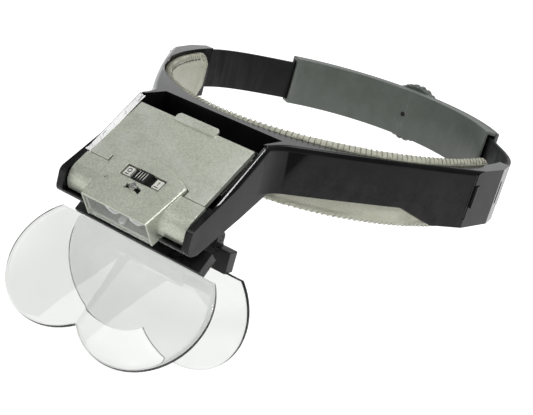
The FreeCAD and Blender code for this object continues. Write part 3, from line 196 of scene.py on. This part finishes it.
def surface(
    name, tones, rough, grain, bump, worn=None, scratches=0.0, flakes=0.0, pebbles=0.0, **sockets
):
    """A moulded, painted or covered surface: tone, smudges, grain, pebbles with painted shade in their
    valleys, flakes, scratches and wear.

    Tones and rough are pairs between which the surface varies, and bump and pebbles are in millimetres.
    """
    material = bpy.data.materials.new(name)
    material.use_nodes = True
    tree = material.node_tree
    shader = tree.nodes["Principled BSDF"]
    for key, value in sockets.items():
        shader.inputs[key.replace("_", " ")].default_value = value
    where = tree.nodes.new("ShaderNodeTexCoord").outputs["Object"]
    blotch = noise(tree, where, BLOTCHES, 4, 0.6)
    colour = mixed(tree, span(tree, blotch, 0.35, 0.65), tones[0], tones[1])
    smudge = noise(tree, where, SMUDGES, 5, 0.7)
    roughness = span(tree, smudge, 0.38, 0.68, rough[0], rough[1])
    fine = noise(tree, where, grain, 3)
    normal = bumped(tree, fine, bump)
    if pebbles:
        wobble = noise(tree, where, PEBBLE_WOBBLES, 2)
        near = cells(tree, where, PEBBLES, "DISTANCE_TO_EDGE", "Distance")
        pebble = maths(tree, "ADD", span(tree, near, 0, 0.35), maths(tree, "MULTIPLY", wobble, 0.6))
        normal = bumped(tree, pebble, pebbles, 1.0, normal)
        # Painted shade: towards the pebbles' edges, in the valleys between them, the colour darkens to 0.8 of
        # the darker tone.
        valley_shade = span(tree, near, 0, 0.12, 0.0, 1.0)
        colour = mixed(tree, valley_shade, tuple(0.8 * c for c in tones[0]), colour)
    if flakes:
        grains = cells(tree, where, FLAKES)
        grey = tree.nodes.new("ShaderNodeSeparateColor")
        link(tree, grains, grey.inputs[0])
        bright = span(tree, grey.outputs[0], 0, 1, 1 - flakes, 1 + flakes)
        scale = tree.nodes.new("ShaderNodeVectorMath")
        scale.operation = "SCALE"
        link(tree, colour, scale.inputs[0])
        link(tree, bright, scale.inputs["Scale"])
        colour = scale.outputs[0]
        normal = bumped(tree, grey.outputs[1], 0.02, 0.5, normal)
    if scratches:
        across = noise(tree, stretched(tree, where, HAIRS_ACROSS), 1, 2)
        along = noise(tree, stretched(tree, where, HAIRS_ALONG), 1, 2)
        hair = maths(tree, "ADD", span(tree, across, 0.66, 0.72), span(tree, along, 0.68, 0.74))
        roughness = maths(tree, "ADD", roughness, maths(tree, "MULTIPLY", hair, scratches))
        normal = bumped(tree, hair, -0.01, 0.4, normal)
    if worn:
        sharp = tree.nodes.new("ShaderNodeNewGeometry").outputs["Pointiness"]
        patchy = maths(tree, "MULTIPLY", span(tree, sharp, 0.52, 0.62), span(tree, smudge, 0.4, 0.6))
        colour = mixed(tree, patchy, colour, worn)
    link(tree, colour, shader.inputs["Base Color"])
    link(tree, roughness, shader.inputs["Roughness"])
    link(tree, normal, shader.inputs["Normal"])
    return material


def clear(name, tint, rough, ior):
    """Clear plastic with faint smears."""
    tones = (tint, tuple(0.97 * c for c in tint))
    return surface(name, tones, rough, SMEARS, 0.004, Transmission_Weight=1.0, IOR=ior)


frame_gloss = surface("frame_gloss", ((0.0035, 0.0035, 0.004), (0.006, 0.006, 0.0065)), (0.11, 0.16), 900,
                      0.004, worn=(0.02, 0.02, 0.02), scratches=0.1, IOR=1.46, Specular_IOR_Level=0.2)
satin_black = surface("satin_black", ((0.005, 0.005, 0.005), (0.009, 0.009, 0.009)), (0.26, 0.42), 2600, 0.03,
                      worn=(0.03, 0.03, 0.03), scratches=0.1, IOR=1.4, Specular_IOR_Level=0.4)
strap_black = surface("strap_black", ((0.006, 0.006, 0.0065), (0.010, 0.010, 0.0105)), (0.42, 0.56), 3200,
                      0.045, worn=(0.02, 0.02, 0.02), scratches=0.08, IOR=1.36, Specular_IOR_Level=0.35)
shell_grey = surface("shell_grey", ((0.070, 0.081, 0.069), (0.080, 0.092, 0.080)), (0.42, 0.56), 3000, 0.05,
                     worn=(0.17, 0.18, 0.17), scratches=0.06)
silver_paint = surface("silver_paint", ((0.47, 0.49, 0.41), (0.50, 0.522, 0.44)), (0.37, 0.42), 2200, 0.02,
                       worn=(0.62, 0.63, 0.58), flakes=0.16, Metallic=0.5)
nickel = surface("nickel", ((0.55, 0.54, 0.52), (0.64, 0.63, 0.6)), (0.2, 0.34), 1800, 0.01,
                 scratches=0.2, Metallic=1.0)
reflector = surface(
    "reflector", ((0.74, 0.74, 0.73), (0.82, 0.82, 0.81)), (0.25, 0.4), 900, 0.02, Metallic=0.35
)
bowl_silver = surface(
    "bowl_silver", ((0.86, 0.86, 0.85), (0.92, 0.92, 0.91)), (0.18, 0.3), 900, 0.005, Metallic=0.25
)
cell_wrap = surface(
    "cell_wrap", ((0.05, 0.06, 0.09), (0.07, 0.08, 0.11)), (0.2, 0.3), 700, 0.01, worn=(0.4, 0.4, 0.4)
)
wire_red = surface("wire_red", ((0.36, 0.015, 0.015), (0.42, 0.02, 0.02)), (0.35, 0.5), 1200, 0.02)
board_green = surface("board_green", ((0.015, 0.12, 0.05), (0.02, 0.16, 0.06)), (0.25, 0.4), 1500, 0.01)
# Pale paint of the switch plates; the slider's ribs also wear it as painted highlights.
plate_pale_and_rib_highlight = surface("plate_pale_and_rib_highlight", ((0.55, 0.55, 0.5), (0.62, 0.62, 0.57)), (0.4, 0.55), 1500, 0.02)
mark_dark = surface("mark_dark", ((0.02, 0.02, 0.02), (0.03, 0.03, 0.03)), (0.4, 0.55), 1500, 0.02)
leatherette = surface("leatherette", ((0.40, 0.405, 0.315), (0.46, 0.465, 0.37)), (0.42, 0.58), 2400,
                      0.02, pebbles=0.05, Sheen_Weight=0.12, Sheen_Roughness=0.5)
thread = surface(
    "thread", ((0.18, 0.175, 0.135), (0.26, 0.25, 0.2)), (0.6, 0.75), 3500, 0.04, Sheen_Weight=0.2
)
seam_thread = surface("seam_thread", ((0.035, 0.035, 0.03), (0.07, 0.07, 0.06)), (0.55, 0.7), 3500, 0.04)
lens_clear = clear("lens_clear", (0.735, 0.745, 0.73), (0.01, 0.05), 1.49)
lens_rim = clear("lens_rim", (0.82, 0.83, 0.82), (0.25, 0.4), 1.2)
window_clear = clear("window_clear", (0.97, 0.98, 0.975), (0.02, 0.06), 1.35)
led_epoxy = surface("led_epoxy", ((0.9, 0.91, 0.9), (0.95, 0.96, 0.95)), (0.05, 0.15), 800, 0.01,
                    Transmission_Weight=0.3, IOR=1.5)

# The material of each CAD piece and the rounding of its edges in millimetres.
FINISHES = {
    "front_frame": (frame_gloss, 0.0), "rear_housing": (shell_grey, 0.35), "rear_cover": (shell_grey, 0.35),
    "knob_washer": (nickel, 0.05), "adjust_knob": (shell_grey, 0.2), "pinion_shaft": (satin_black, 0.08),
    "knob_screw": (satin_black, 0.1), "battery_door": (silver_paint, 0.15),
    "battery_tray": (satin_black, 0.1), "rear_cell": (cell_wrap, 0.2), "front_cell": (cell_wrap, 0.2),
    "contact_plates": (nickel, 0.03), "contact_springs": (nickel, 0.03),
    "lamp_housing": (silver_paint, 0.15), "lamp_wires": (wire_red, 0.0),
    "lamp_window": (window_clear, 0.15), "switch_body": (satin_black, 0.1),
    "switch_plates": (plate_pale_and_rib_highlight, 0.1), "switch_slider": (satin_black, 0.08), "left_led": (led_epoxy, 0.0),
    "right_led": (led_epoxy, 0.0), "lamp_block": (reflector, 0.1), "led_board": (board_green, 0.05),
    "aim_screw": (nickel, 0.08), "housing_screws": (nickel, 0.1), "hinge_bracket": (satin_black, 0.2),
    "bracket_screws": (satin_black, 0.1), "rear_hinge_pins": (satin_black, 0.1),
    "front_hinge_pins": (satin_black, 0.1), "friction_washers": (satin_black, 0.05),
    "rear_lens_holder": (satin_black, 0.3), "front_lens_holder": (satin_black, 0.3),
}


WELD_REACH = 3e-6
FLAT_ANGLE, SHARP_ANGLE = math.radians(0.6), math.radians(35)


def soften(piece, width):
    """Welds a CAD mesh and, where a width is given, merges its flat facets and rounds its sharp edges."""
    weld = piece.modifiers.new("weld", "WELD")
    weld.merge_threshold = WELD_REACH
    if width:
        flat = piece.modifiers.new("flat", "DECIMATE")
        flat.decimate_type = "DISSOLVE"
        flat.angle_limit = FLAT_ANGLE
        bevel = piece.modifiers.new("bevel", "BEVEL")
        bevel.width = width * MM
        bevel.segments = 2
        bevel.limit_method = "ANGLE"
        bevel.angle_limit = SHARP_ANGLE
        bevel.use_clamp_overlap = False
        bevel.harden_normals = True


for label, (finish, width) in FINISHES.items():
    node = NODES[label]
    if not node.material_slots:
        node.data.materials.append(finish)
    for place in node.material_slots:
        place.link = "OBJECT"
        place.material = finish
    soften(node, width)


# ---------------------------------------------------------------- building pieces

SKIN_WELD = 2e-5
TUBE_SIDES = 5
TUBE_TIP = 0.55
TUBE_GUIDE = Vector((0.13, 0.21, 0.97))


def piece_of(name, points, faces, material, smooth=True):
    mesh = bpy.data.meshes.new(name)
    mesh.from_pydata([tuple(p) for p in points], [], faces)
    mesh.update()
    for polygon in mesh.polygons:
        polygon.use_smooth = smooth
    made = bpy.data.objects.new(name, mesh)
    bpy.context.scene.collection.objects.link(made)
    made.data.materials.append(material)
    return made


def tidy(piece, near=1e-6):
    """Merges points that coincide and turns the faces outwards."""
    work = bmesh.new()
    work.from_mesh(piece.data)
    bmesh.ops.remove_doubles(work, verts=work.verts, dist=near)
    bmesh.ops.recalc_face_normals(work, faces=work.faces)
    work.to_mesh(piece.data)
    work.free()


def applied(piece):
    """Applies every modifier of a piece and gives the piece back."""
    mesh = bpy.data.meshes.new_from_object(piece.evaluated_get(bpy.context.evaluated_depsgraph_get()))
    piece.modifiers.clear()
    piece.data = mesh
    return piece


def tube(path, radius, first):
    """Points and faces of a closed tube along a path, its points numbered from first on."""
    sides = TUBE_SIDES
    points = []
    for i, p in enumerate(path):
        ahead = (path[min(i + 1, len(path) - 1)] - path[max(i - 1, 0)]).normalized()
        side = ahead.cross(TUBE_GUIDE).normalized()
        other = ahead.cross(side)
        taper = TUBE_TIP if i in (0, len(path) - 1) else 1.0
        for k in range(sides):
            turn = 2 * math.pi * k / sides
            points.append(p + (side * math.cos(turn) + other * math.sin(turn)) * radius * taper)
    faces = []
    for i in range(len(path) - 1):
        for k in range(sides):
            a, b = first + i * sides + k, first + i * sides + (k + 1) % sides
            faces.append((a, b, b + sides, a + sides))
    last = first + (len(path) - 1) * sides
    faces.append(tuple(range(first + sides - 1, first - 1, -1)))
    faces.append(tuple(range(last, last + sides)))
    return points, faces


# ---------------------------------------------------------------- lens plates

PLATE_BULGE = 0.7
PLATE_GAP, TONGUE_LAP, TONGUE_ROUND = 0.06, 0.12, 0.3
TOP_POINTS, LOBE_POINTS = 22, 60
# Rings of a lens face, as shares of the way out from the line between the lobes' middles.
# The two outermost ones sink a little, which rounds the rim.
LENS_RINGS = (0.0, 0.12, 0.25, 0.4, 0.55, 0.7, 0.82, 0.92, 0.975, 0.992, 1.0)
RING_SINKS = {0.992: 0.12, 1.0: 0.45}
MIDLINE_SHARE = 0.8


def lens_outline():
    """The right half's outline, from the middle along the straight edge and round the lobe to the cusp."""
    centre_z = PLATE_TOP - LOBE_BELOW
    reach = math.sqrt(LOBE_RADIUS**2 - LOBE_BELOW**2)
    points = [(x, PLATE_TOP - PLATE_GAP) for x in np.linspace(0, LOBE_HALF + reach, TOP_POINTS)[:-1]]
    start = math.atan2(LOBE_BELOW, reach)
    end = -math.pi + math.asin(math.sqrt(LOBE_RADIUS**2 - LOBE_HALF**2) / LOBE_RADIUS)
    for turn in np.linspace(start, end, LOBE_POINTS):
        points.append((LOBE_HALF + LOBE_RADIUS * math.cos(turn), centre_z + LOBE_RADIUS * math.sin(turn)))
    return [(max(x, 0.0), z) for x, z in points]


def lens_plate(end):
    """A double lens: each lobe is flat behind and domed in front, with a rounded rim."""
    half = lens_outline()
    loop = half + [(-x, z) for x, z in half[-2:0:-1]]
    centre_z = PLATE_TOP - LOBE_BELOW
    flat = PLATE_THICK / 2
    points = []
    for face in (-1, 1):
        for k in LENS_RINGS:
            for x, z in loop:
                tx = max(-LOBE_HALF, min(LOBE_HALF, x * MIDLINE_SHARE))
                px, pz = tx + (x - tx) * k, centre_z + (z - centre_z) * k
                away = math.hypot(abs(px) - LOBE_HALF, pz - centre_z) / LOBE_RADIUS
                dome = PLATE_BULGE * max(0.0, 1 - away**2) if face < 0 else 0.0
                sink = RING_SINKS.get(k, 0.0)
                points.append(at_pin(end, px, face * (flat + dome - sink), pz))
    count, layers = len(loop), len(LENS_RINGS)
    faces = []
    for face in (0, 1):
        base = face * layers * count
        for r in range(layers - 1):
            for i in range(count):
                a, b = base + r * count + i, base + r * count + (i + 1) % count
                faces.append((a, b, b + count, a + count) if face else (a, a + count, b + count, b))
    low, high = (layers - 1) * count, (2 * layers - 1) * count
    for i in range(count):
        j = (i + 1) % count
        faces.append((low + i, high + i, high + j, low + j))
    piece = piece_of(f"{end}_lenses", points, faces, lens_clear)
    piece.data.materials.append(lens_rim)
    for polygon in piece.data.polygons[-count:]:
        polygon.material_index = 1
    tidy(piece, SKIN_WELD)
    return piece


def tongue(end):
    """The straight tongue by which the plate sits in its holder."""
    low, high = PLATE_TOP - TONGUE_LAP, PLATE_TOP + TONGUE_HIGH - PLATE_GAP
    half = PLATE_THICK / 2
    sides = (-TONGUE_HALF, TONGUE_HALF)
    points = [at_pin(end, x, y, z) for x in sides for y in (-half, half) for z in (low, high)]
    faces = [(0, 1, 3, 2), (4, 6, 7, 5), (0, 4, 5, 1), (2, 3, 7, 6), (0, 2, 6, 4), (1, 5, 7, 3)]
    piece = piece_of(f"{end}_lens_tongue", points, faces, lens_clear, False)
    bevel = piece.modifiers.new("bevel", "BEVEL")
    bevel.width = TONGUE_ROUND * MM
    bevel.segments = 2
    return applied(piece)


for end in ("rear", "front"):
    plate = lens_plate(end)
    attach(plate, f"{end}_lens")
    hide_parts(f"{end}_lens_plate")
    hold = tongue(end)
    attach(hold, f"{end}_lens")


# ---------------------------------------------------------------- straps

STRAP_ROUND = 0.2

for label in ("left_strap", "right_strap"):
    node = NODES[label]
    strap = bpy.data.objects.new(label + "_web", node.data.copy())
    bpy.context.scene.collection.objects.link(strap)
    strap.data.materials.clear()
    strap.data.materials.append(strap_black)
    soften(strap, STRAP_ROUND)
    applied(strap)
    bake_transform(strap)
    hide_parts(label)


# ---------------------------------------------------------------- forehead pad

PAD_HALF, PAD_REACH, PAD_BACK = 77.7, 96.7, 7.0
PAD_TOP, PAD_LOW = 2.2, -27.5
PAD_DIP = 3.0
PAD_SEAM = 3.2
TOP_ROUND, LOW_ROUND = 9.5, 15.0
# The pad's skins: how thick its rim is, how far they swell from it, and the groove along the seam.
RIM_OFFSET, OUTER_SWELL, INNER_SWELL, CROWN_SWELL = 2.2, 1.8, 1.6, 1.9
RIM_SOFT, CROWN_SOFT = 1.8, 7.0
GROOVE_DEEP, GROOVE_WIDE = 0.8, 0.55
HELD_RIM, HELD_SEAM = 0.3, 0.4
NEAR_RIM = (0.0, 0.5, 1.2, 2.1, 2.9, 3.4, 3.9, 4.8, 6.2)
ACROSS_MORE = (8.2, 10.6, 13.2)
ALONG_START, ALONG_POINTS = 7.8, 126


class PadPath:
    """The pad's plan line on its outer side, with distances along it from end to end."""

    def __init__(self):
        last = math.acos(PAD_BACK / PAD_REACH)
        turns = np.linspace(-last, last, 721)
        self.plan = np.stack([PAD_HALF * np.sin(turns), -PAD_REACH * np.cos(turns)], 1)
        steps = np.linalg.norm(np.diff(self.plan, axis=0), axis=1)
        self.along = np.concatenate([[0], np.cumsum(steps)])
        self.length = self.along[-1]

    def at(self, s):
        x, y = (float(np.interp(s, self.along, self.plan[:, k])) for k in (0, 1))
        inward = Vector((-x / PAD_HALF**2, -y / PAD_REACH**2, 0)).normalized()
        return Vector((x, y, 0)), inward


PATH = PadPath()


def pad_top(s):
    """The top edge's height along the pad, which sits a little lower towards the left."""
    t = min(1.0, max(0.0, (s / PATH.length - 0.2) / 0.6))
    return PAD_TOP - PAD_DIP * (1 - t * t * (3 - 2 * t))


def pad_height(s):
    """Low and high edge of the pad at a distance along it: the ends are rounded."""
    near = min(s, PATH.length - s)

    def drop(radius):
        if near >= radius:
            return 0.0
        return radius - math.sqrt(max(0.0, radius**2 - (radius - near) ** 2))

    return PAD_LOW + drop(LOW_ROUND), pad_top(s) - drop(TOP_ROUND)


def pad_skin(depth):
    """Offsets of the outer and the inner skin at a distance in from the rim."""
    soft = min(1.0, depth / RIM_SOFT)
    crown = min(1.0, max(0.0, depth - PAD_SEAM) / CROWN_SOFT)
    edge, swell = math.sqrt(1 - (1 - soft) ** 2), math.sqrt(1 - (1 - crown) ** 2)
    groove = math.exp(-((depth - PAD_SEAM) / GROOVE_WIDE) ** 2)
    inner = RIM_OFFSET + INNER_SWELL * edge + CROWN_SWELL * swell
    return RIM_OFFSET - OUTER_SWELL * edge, inner - GROOVE_DEEP * groove


def pad_point(s, z, offset):
    place, inward = PATH.at(s)
    return (place + inward * offset + Vector((0, 0, z))) * MM


def rim_distance(s, z):
    low, high = pad_height(s)
    return max(0.0, min(s, PATH.length - s, z - low, high - z))


def pad_grid():
    """Stations along and across the pad, closer together near its rim and its seam."""
    middle = list(np.linspace(ALONG_START, PATH.length - ALONG_START, ALONG_POINTS))
    along = list(NEAR_RIM) + middle + [PATH.length - f for f in reversed(NEAR_RIM)]
    return along, NEAR_RIM + ACROSS_MORE


def build_pad():
    """The pad's closed cover, with the points at its rim and its seam held for the swelling."""
    along, half = pad_grid()
    rows = [(f, None) for f in half] + [(None, f) for f in reversed(half)]
    points, held = [], []
    for skin in (0, 1):
        for s in along:
            low, high = pad_height(s)
            squeeze = (high - low) / (PAD_TOP - PAD_LOW)
            for up_from, down_from in rows:
                z = low + up_from * squeeze if down_from is None else high - down_from * squeeze
                depth = rim_distance(s, z)
                if depth < HELD_RIM or abs(depth - PAD_SEAM) < HELD_SEAM:
                    held.append(len(points))
                points.append(pad_point(s, z, pad_skin(depth)[skin]))
    m, n = len(rows), len(along)
    faces = []
    for skin in (0, 1):
        base = skin * n * m
        for i in range(n - 1):
            for j in range(m - 1):
                a = base + i * m + j
                quad = (a, a + m, a + m + 1, a + 1)
                faces.append(quad if skin else quad[::-1])
    pad = piece_of("brow_pad", points, faces, leatherette)
    pad.vertex_groups.new(name="held").add(held, 1.0, "REPLACE")
    tidy(pad, SKIN_WELD)
    return pad


def puff(piece, frames, pressure, cap):
    """Lets the cover swell between its held seams, and limits how far any point moves, in millimetres."""
    before = np.array([v.co for v in piece.data.vertices])
    cloth = piece.modifiers.new("cloth", "CLOTH")
    cloth.settings.quality = 6
    cloth.settings.mass = 0.3
    cloth.settings.tension_stiffness = 18
    cloth.settings.compression_stiffness = 14
    cloth.settings.shear_stiffness = 8
    cloth.settings.bending_stiffness = 2.5
    cloth.settings.vertex_group_mass = "held"
    cloth.settings.use_pressure = True
    cloth.settings.uniform_pressure_force = pressure
    cloth.settings.shrink_min = -0.03
    cloth.settings.effector_weights.gravity = 0
    cloth.collision_settings.use_collision = False
    cloth.collision_settings.use_self_collision = False
    cloth.point_cache.frame_start = 1
    cloth.point_cache.frame_end = frames
    scene = bpy.context.scene
    for step in range(1, frames + 1):
        scene.frame_set(step)
    after_mesh = bpy.data.meshes.new_from_object(
        piece.evaluated_get(bpy.context.evaluated_depsgraph_get())
    )
    after = np.array([v.co for v in after_mesh.vertices])
    piece.modifiers.clear()
    scene.frame_set(1)
    move = after - before
    size = np.linalg.norm(move, axis=1, keepdims=True)
    move *= np.minimum(1.0, cap * MM / np.maximum(size, 1e-9))
    for vertex, place in zip(piece.data.vertices, before + move):
        vertex.co = place
    piece.data.update()
    print("puff: largest move in mm", round(float(size.max()) * 1000, 2))


pad = build_pad()
puff(pad, frames=18, pressure=1.2, cap=0.9)
smoother = pad.modifiers.new("smoother", "SUBSURF")
smoother.levels = smoother.render_levels = 1
applied(pad)
for polygon in pad.data.polygons:
    polygon.use_smooth = True
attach(pad, "visor")
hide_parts("forehead_pad")


def span_up(z):
    """How far up the pad a height is, from 0 to 1."""
    return (z - PAD_LOW) / (PAD_TOP - PAD_LOW)


def rim_line(depth, step):
    """Points a distance in from the pad's rim, clockwise: (along, height, outward along, outward up)."""
    low, high, end = PAD_LOW + depth, PAD_TOP - depth, PATH.length
    top_radius, low_radius = TOP_ROUND - depth, LOW_ROUND - depth
    top_middle, low_middle = high - top_radius, low + low_radius
    line = []

    def corner(s, z, radius, start):
        """A quarter circle round a middle, from an angle in degrees on."""
        for turn in np.arange(start, start - 90, -math.degrees(step / max(radius, 0.1))):
            out_s, out_z = math.cos(math.radians(turn)), math.sin(math.radians(turn))
            line.append((s + radius * out_s, z + radius * out_z, out_s, out_z))

    line += [(s, high, 0.0, 1.0) for s in np.arange(TOP_ROUND, end - TOP_ROUND, step)]
    corner(end - TOP_ROUND, top_middle, top_radius, 90)
    line += [(end - depth, z, 1.0, 0.0) for z in np.arange(top_middle, low_middle, -step)]
    corner(end - LOW_ROUND, low_middle, low_radius, 0)
    line += [(s, low, 0.0, -1.0) for s in np.arange(end - LOW_ROUND, LOW_ROUND, -step)]
    corner(LOW_ROUND, low_middle, low_radius, -90)
    line += [(depth, z, -1.0, 0.0) for z in np.arange(low_middle, top_middle, step)]
    corner(TOP_ROUND, top_middle, top_radius, 180)
    return [(s, z - (PAD_TOP - pad_top(s)) * span_up(z), a, b) for s, z, a, b in line]


def gather(name, paths, radius, material, ride="visor"):
    """One piece made of a tube along each path."""
    points, faces = [], []
    for path in paths:
        more_points, more_faces = tube(path, radius * MM, len(points))
        points += more_points
        faces += more_faces
    made = piece_of(name, points, faces, material)
    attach(made, ride)
    return made


# An overcast stitch goes over the rim, from skin to skin: (in from the rim, offset). Its ends lean apart.
WHIP_SECTION = (
    (1.9, 3.92), (1.1, 3.72), (0.33, 3.05), (-0.06, 2.2), (0.33, 1.28), (1.1, 0.6), (1.9, 0.36)
)
WHIP_STEP, WHIP_LEAN, WHIP_MIDDLE, WHIP_RADIUS = 2.3, 0.175, 2, 0.15
# A seam stitch arches over four points of the seam, and a few stitches are missing.
DASH_OFFSETS = (3.15, 3.45, 3.45, 3.15)
DASH_STEP, DASH_SHARE, DASH_RADIUS = 0.9, 0.985, 0.28

whips = []
for s, z, out_s, out_z in rim_line(0.0, WHIP_STEP):
    whip = []
    for depth, offset in WHIP_SECTION:
        shift = (offset - WHIP_MIDDLE) * WHIP_LEAN
        whip.append(
            pad_point(s - out_s * depth + out_z * shift, z - out_z * depth - out_s * shift, offset)
        )
    whips.append(whip)
gather("pad_overcast_stitches", whips, WHIP_RADIUS, thread)

dashes = []
seam = rim_line(PAD_SEAM, DASH_STEP)
for i in range(0, len(seam) - 4, 4):
    if random.random() < DASH_SHARE:
        dashes.append([pad_point(s, z, offset) for (s, z, _, _), offset in zip(seam[i:i + 4], DASH_OFFSETS)])
gather("pad_seam_stitches", dashes, DASH_RADIUS, seam_thread)


# ---------------------------------------------------------------- switch marks, painted highlights on the slider's ribs, painted shade under the aim slot, and reflectors

MARK_FACE, MARK_RADIUS, PLATE_MID = 0.6, 0.2, 6.7
MARK_ROW, UNDERLINE_ROW = -30.1, -31.9
RING_RADIUS, RING_POINTS = 0.8, 15
RIB_FACE, RIB_RADIUS = 1.34, 0.14
RIB_COLUMNS, RIB_LOW, RIB_HIGH, RIB_POINTS = (-2.25, -1.15, -0.05, 1.05), -32.5, -28.7, 5
SHADE_HEIGHTS, SHADE_RADII = (-0.72, -0.86), (6.1, 8.9)
SHADE_FROM, SHADE_TO, SHADE_POINTS = math.radians(52), math.radians(128), 19
# The bowl's section as (place up the slope, radius): outer skin down to the rim, inner skin back up.
BOWL_SECTION = ((-41.1, 2.75), (-41.5, 3.2), (-42.0, 3.5), (-42.6, 3.7),
                (-42.6, 3.58), (-42.0, 3.36), (-41.5, 3.05), (-41.1, 2.6))
BOWL_TURNS = 40


def ring_path(x, y):
    """A small circle on the switch plate."""
    turns = np.linspace(0, 2 * math.pi, RING_POINTS)
    return [bay(x + RING_RADIUS * math.cos(t), y + RING_RADIUS * math.sin(t), MARK_FACE) for t in turns]


marks = [
    ring_path(-PLATE_MID, MARK_ROW),
    [bay(PLATE_MID, MARK_ROW + d, MARK_FACE) for d in (-0.9, -0.3, 0.3, 0.9)],
]
for x in (-PLATE_MID, PLATE_MID):
    marks.append([bay(x + d, UNDERLINE_ROW, MARK_FACE) for d in (-1.0, -0.3, 0.3, 1.0)])
gather("switch_marks", marks, MARK_RADIUS, mark_dark)


def slot_shade():
    """A dark arc that rides under the aim slot as painted shade, so that no bright part shows through it."""
    points, faces = [], []
    turns = np.linspace(SHADE_FROM, SHADE_TO, SHADE_POINTS)
    for height in SHADE_HEIGHTS:
        for turn in turns:
            for radius in SHADE_RADII:
                points.append(bay(radius * math.cos(turn), LAMP_AXIS + radius * math.sin(turn), height))
    n = len(turns) * 2
    for i in range(0, n - 2, 2):
        faces += [(i, i + 2, i + 3, i + 1), (n + i, n + i + 1, n + i + 3, n + i + 2)]
        faces += [(i, n + i, n + i + 2, i + 2), (i + 1, i + 3, n + i + 3, n + i + 1)]
    faces += [(0, 1, n + 1, n), (n - 2, 2 * n - 2, 2 * n - 1, n - 1)]
    shade = piece_of("aim_slot_painted_shade", points, faces, satin_black, False)
    tidy(shade)
    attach(shade, "lamp")


slot_shade()

# Painted highlights: pale lines along the black slider's ribs stand for the light they catch.
rib_highlights = [[bay(x, y, RIB_FACE) for y in np.linspace(RIB_LOW, RIB_HIGH, RIB_POINTS)] for x in RIB_COLUMNS]
gather("slider_rib_highlights", rib_highlights, RIB_RADIUS, plate_pale_and_rib_highlight, ride="switch")


def bowl(middle):
    """Points and faces of a reflector bowl round one lamp, open towards the window."""
    points, faces = [], []
    for y, radius in BOWL_SECTION:
        for k in range(BOWL_TURNS):
            turn = 2 * math.pi * k / BOWL_TURNS
            points.append(bay(middle + radius * math.cos(turn), y, LAMP_DEPTH + radius * math.sin(turn)))
    for r in range(len(BOWL_SECTION)):
        here, there = r * BOWL_TURNS, (r + 1) % len(BOWL_SECTION) * BOWL_TURNS
        for k in range(BOWL_TURNS):
            m = (k + 1) % BOWL_TURNS
            faces.append((here + k, here + m, there + m, there + k))
    return points, faces


for side, middle in (("left", -LAMP_MID), ("right", LAMP_MID)):
    points, faces = bowl(middle)
    cup = piece_of(side + "_lamp_bowl", points, faces, bowl_silver)
    tidy(cup)
    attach(cup, "lamp")


# ---------------------------------------------------------------- floor, backdrop and light

# The floor, in metres, lies low enough for the flipped lens plates to clear it.
FLOOR_SIZE, FLOOR_DROP = 300, 0.0075
FLOOR_TONE, FLOOR_GLOW = 0.32, 0.93
# The sky is bright up to the first height over the horizon and dim from the second one up.
SKY_HEIGHTS, SKY_GLOWS = (0.07, 0.19), (1.0, 0.24)

low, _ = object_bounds()
bpy.ops.mesh.primitive_plane_add(size=FLOOR_SIZE, location=(0, 0, low.z - FLOOR_DROP))
floor = bpy.context.object
floor.name = "floor"
white = bpy.data.materials.new("floor_white")
white.use_nodes = True
floor_shader = white.node_tree.nodes["Principled BSDF"]
floor_shader.inputs["Base Color"].default_value = (FLOOR_TONE, FLOOR_TONE, FLOOR_TONE, 1)
floor_shader.inputs["Roughness"].default_value = 0.9
floor_shader.inputs["Specular IOR Level"].default_value = 0.1
floor_shader.inputs["Emission Color"].default_value = (1, 1, 1, 1)
floor_shader.inputs["Emission Strength"].default_value = FLOOR_GLOW
floor.data.materials.append(white)

world = bpy.data.worlds.new("studio")
bpy.context.scene.world = world
world.use_nodes = True
sky = world.node_tree.nodes["Background"]
sky.inputs["Color"].default_value = (0.97, 0.985, 1.0, 1)
aim = world.node_tree.nodes.new("ShaderNodeTexCoord").outputs["Generated"]
parts = world.node_tree.nodes.new("ShaderNodeSeparateXYZ")
link(world.node_tree, aim, parts.inputs[0])
glow = span(world.node_tree, parts.outputs["Z"], *SKY_HEIGHTS, *SKY_GLOWS)
link(world.node_tree, glow, sky.inputs["Strength"])


def softbox(name, place, aim, wide, tall, glow):
    """A rectangular light of a given brightness, aimed at a point. Places and sizes are in metres."""
    lamp = bpy.data.lights.new(name, "AREA")
    lamp.shape = "RECTANGLE"
    lamp.size, lamp.size_y = wide, tall
    lamp.energy = glow * math.pi * wide * tall
    made = bpy.data.objects.new(name, lamp)
    bpy.context.scene.collection.objects.link(made)
    made.location = place
    made.rotation_euler = (Vector(aim) - Vector(place)).to_track_quat("-Z", "Y").to_euler()


softbox("top_light", (-0.25, 0.45, 1.25), (0, -0.05, 0), 1.0, 0.8, 3.6)
softbox("bevel_light", (0.668, -0.366, 1.18), (-0.029, -0.127, -0.011), 0.2, 0.2, 70.0)
softbox("back_light", (-0.55, 1.35, 0.42), (0, -0.05, 0), 2.2, 0.75, 0.62)
softbox("front_light", (-0.6, -1.2, 0.9), (0, -0.05, 0), 0.6, 0.8, 2.6)
softbox("side_light", (1.5, -0.35, 0.6), (0, 0, 0), 0.25, 0.5, 0.7)

view = bpy.context.scene.view_settings
view.view_transform = "Standard"
view.look = "None"
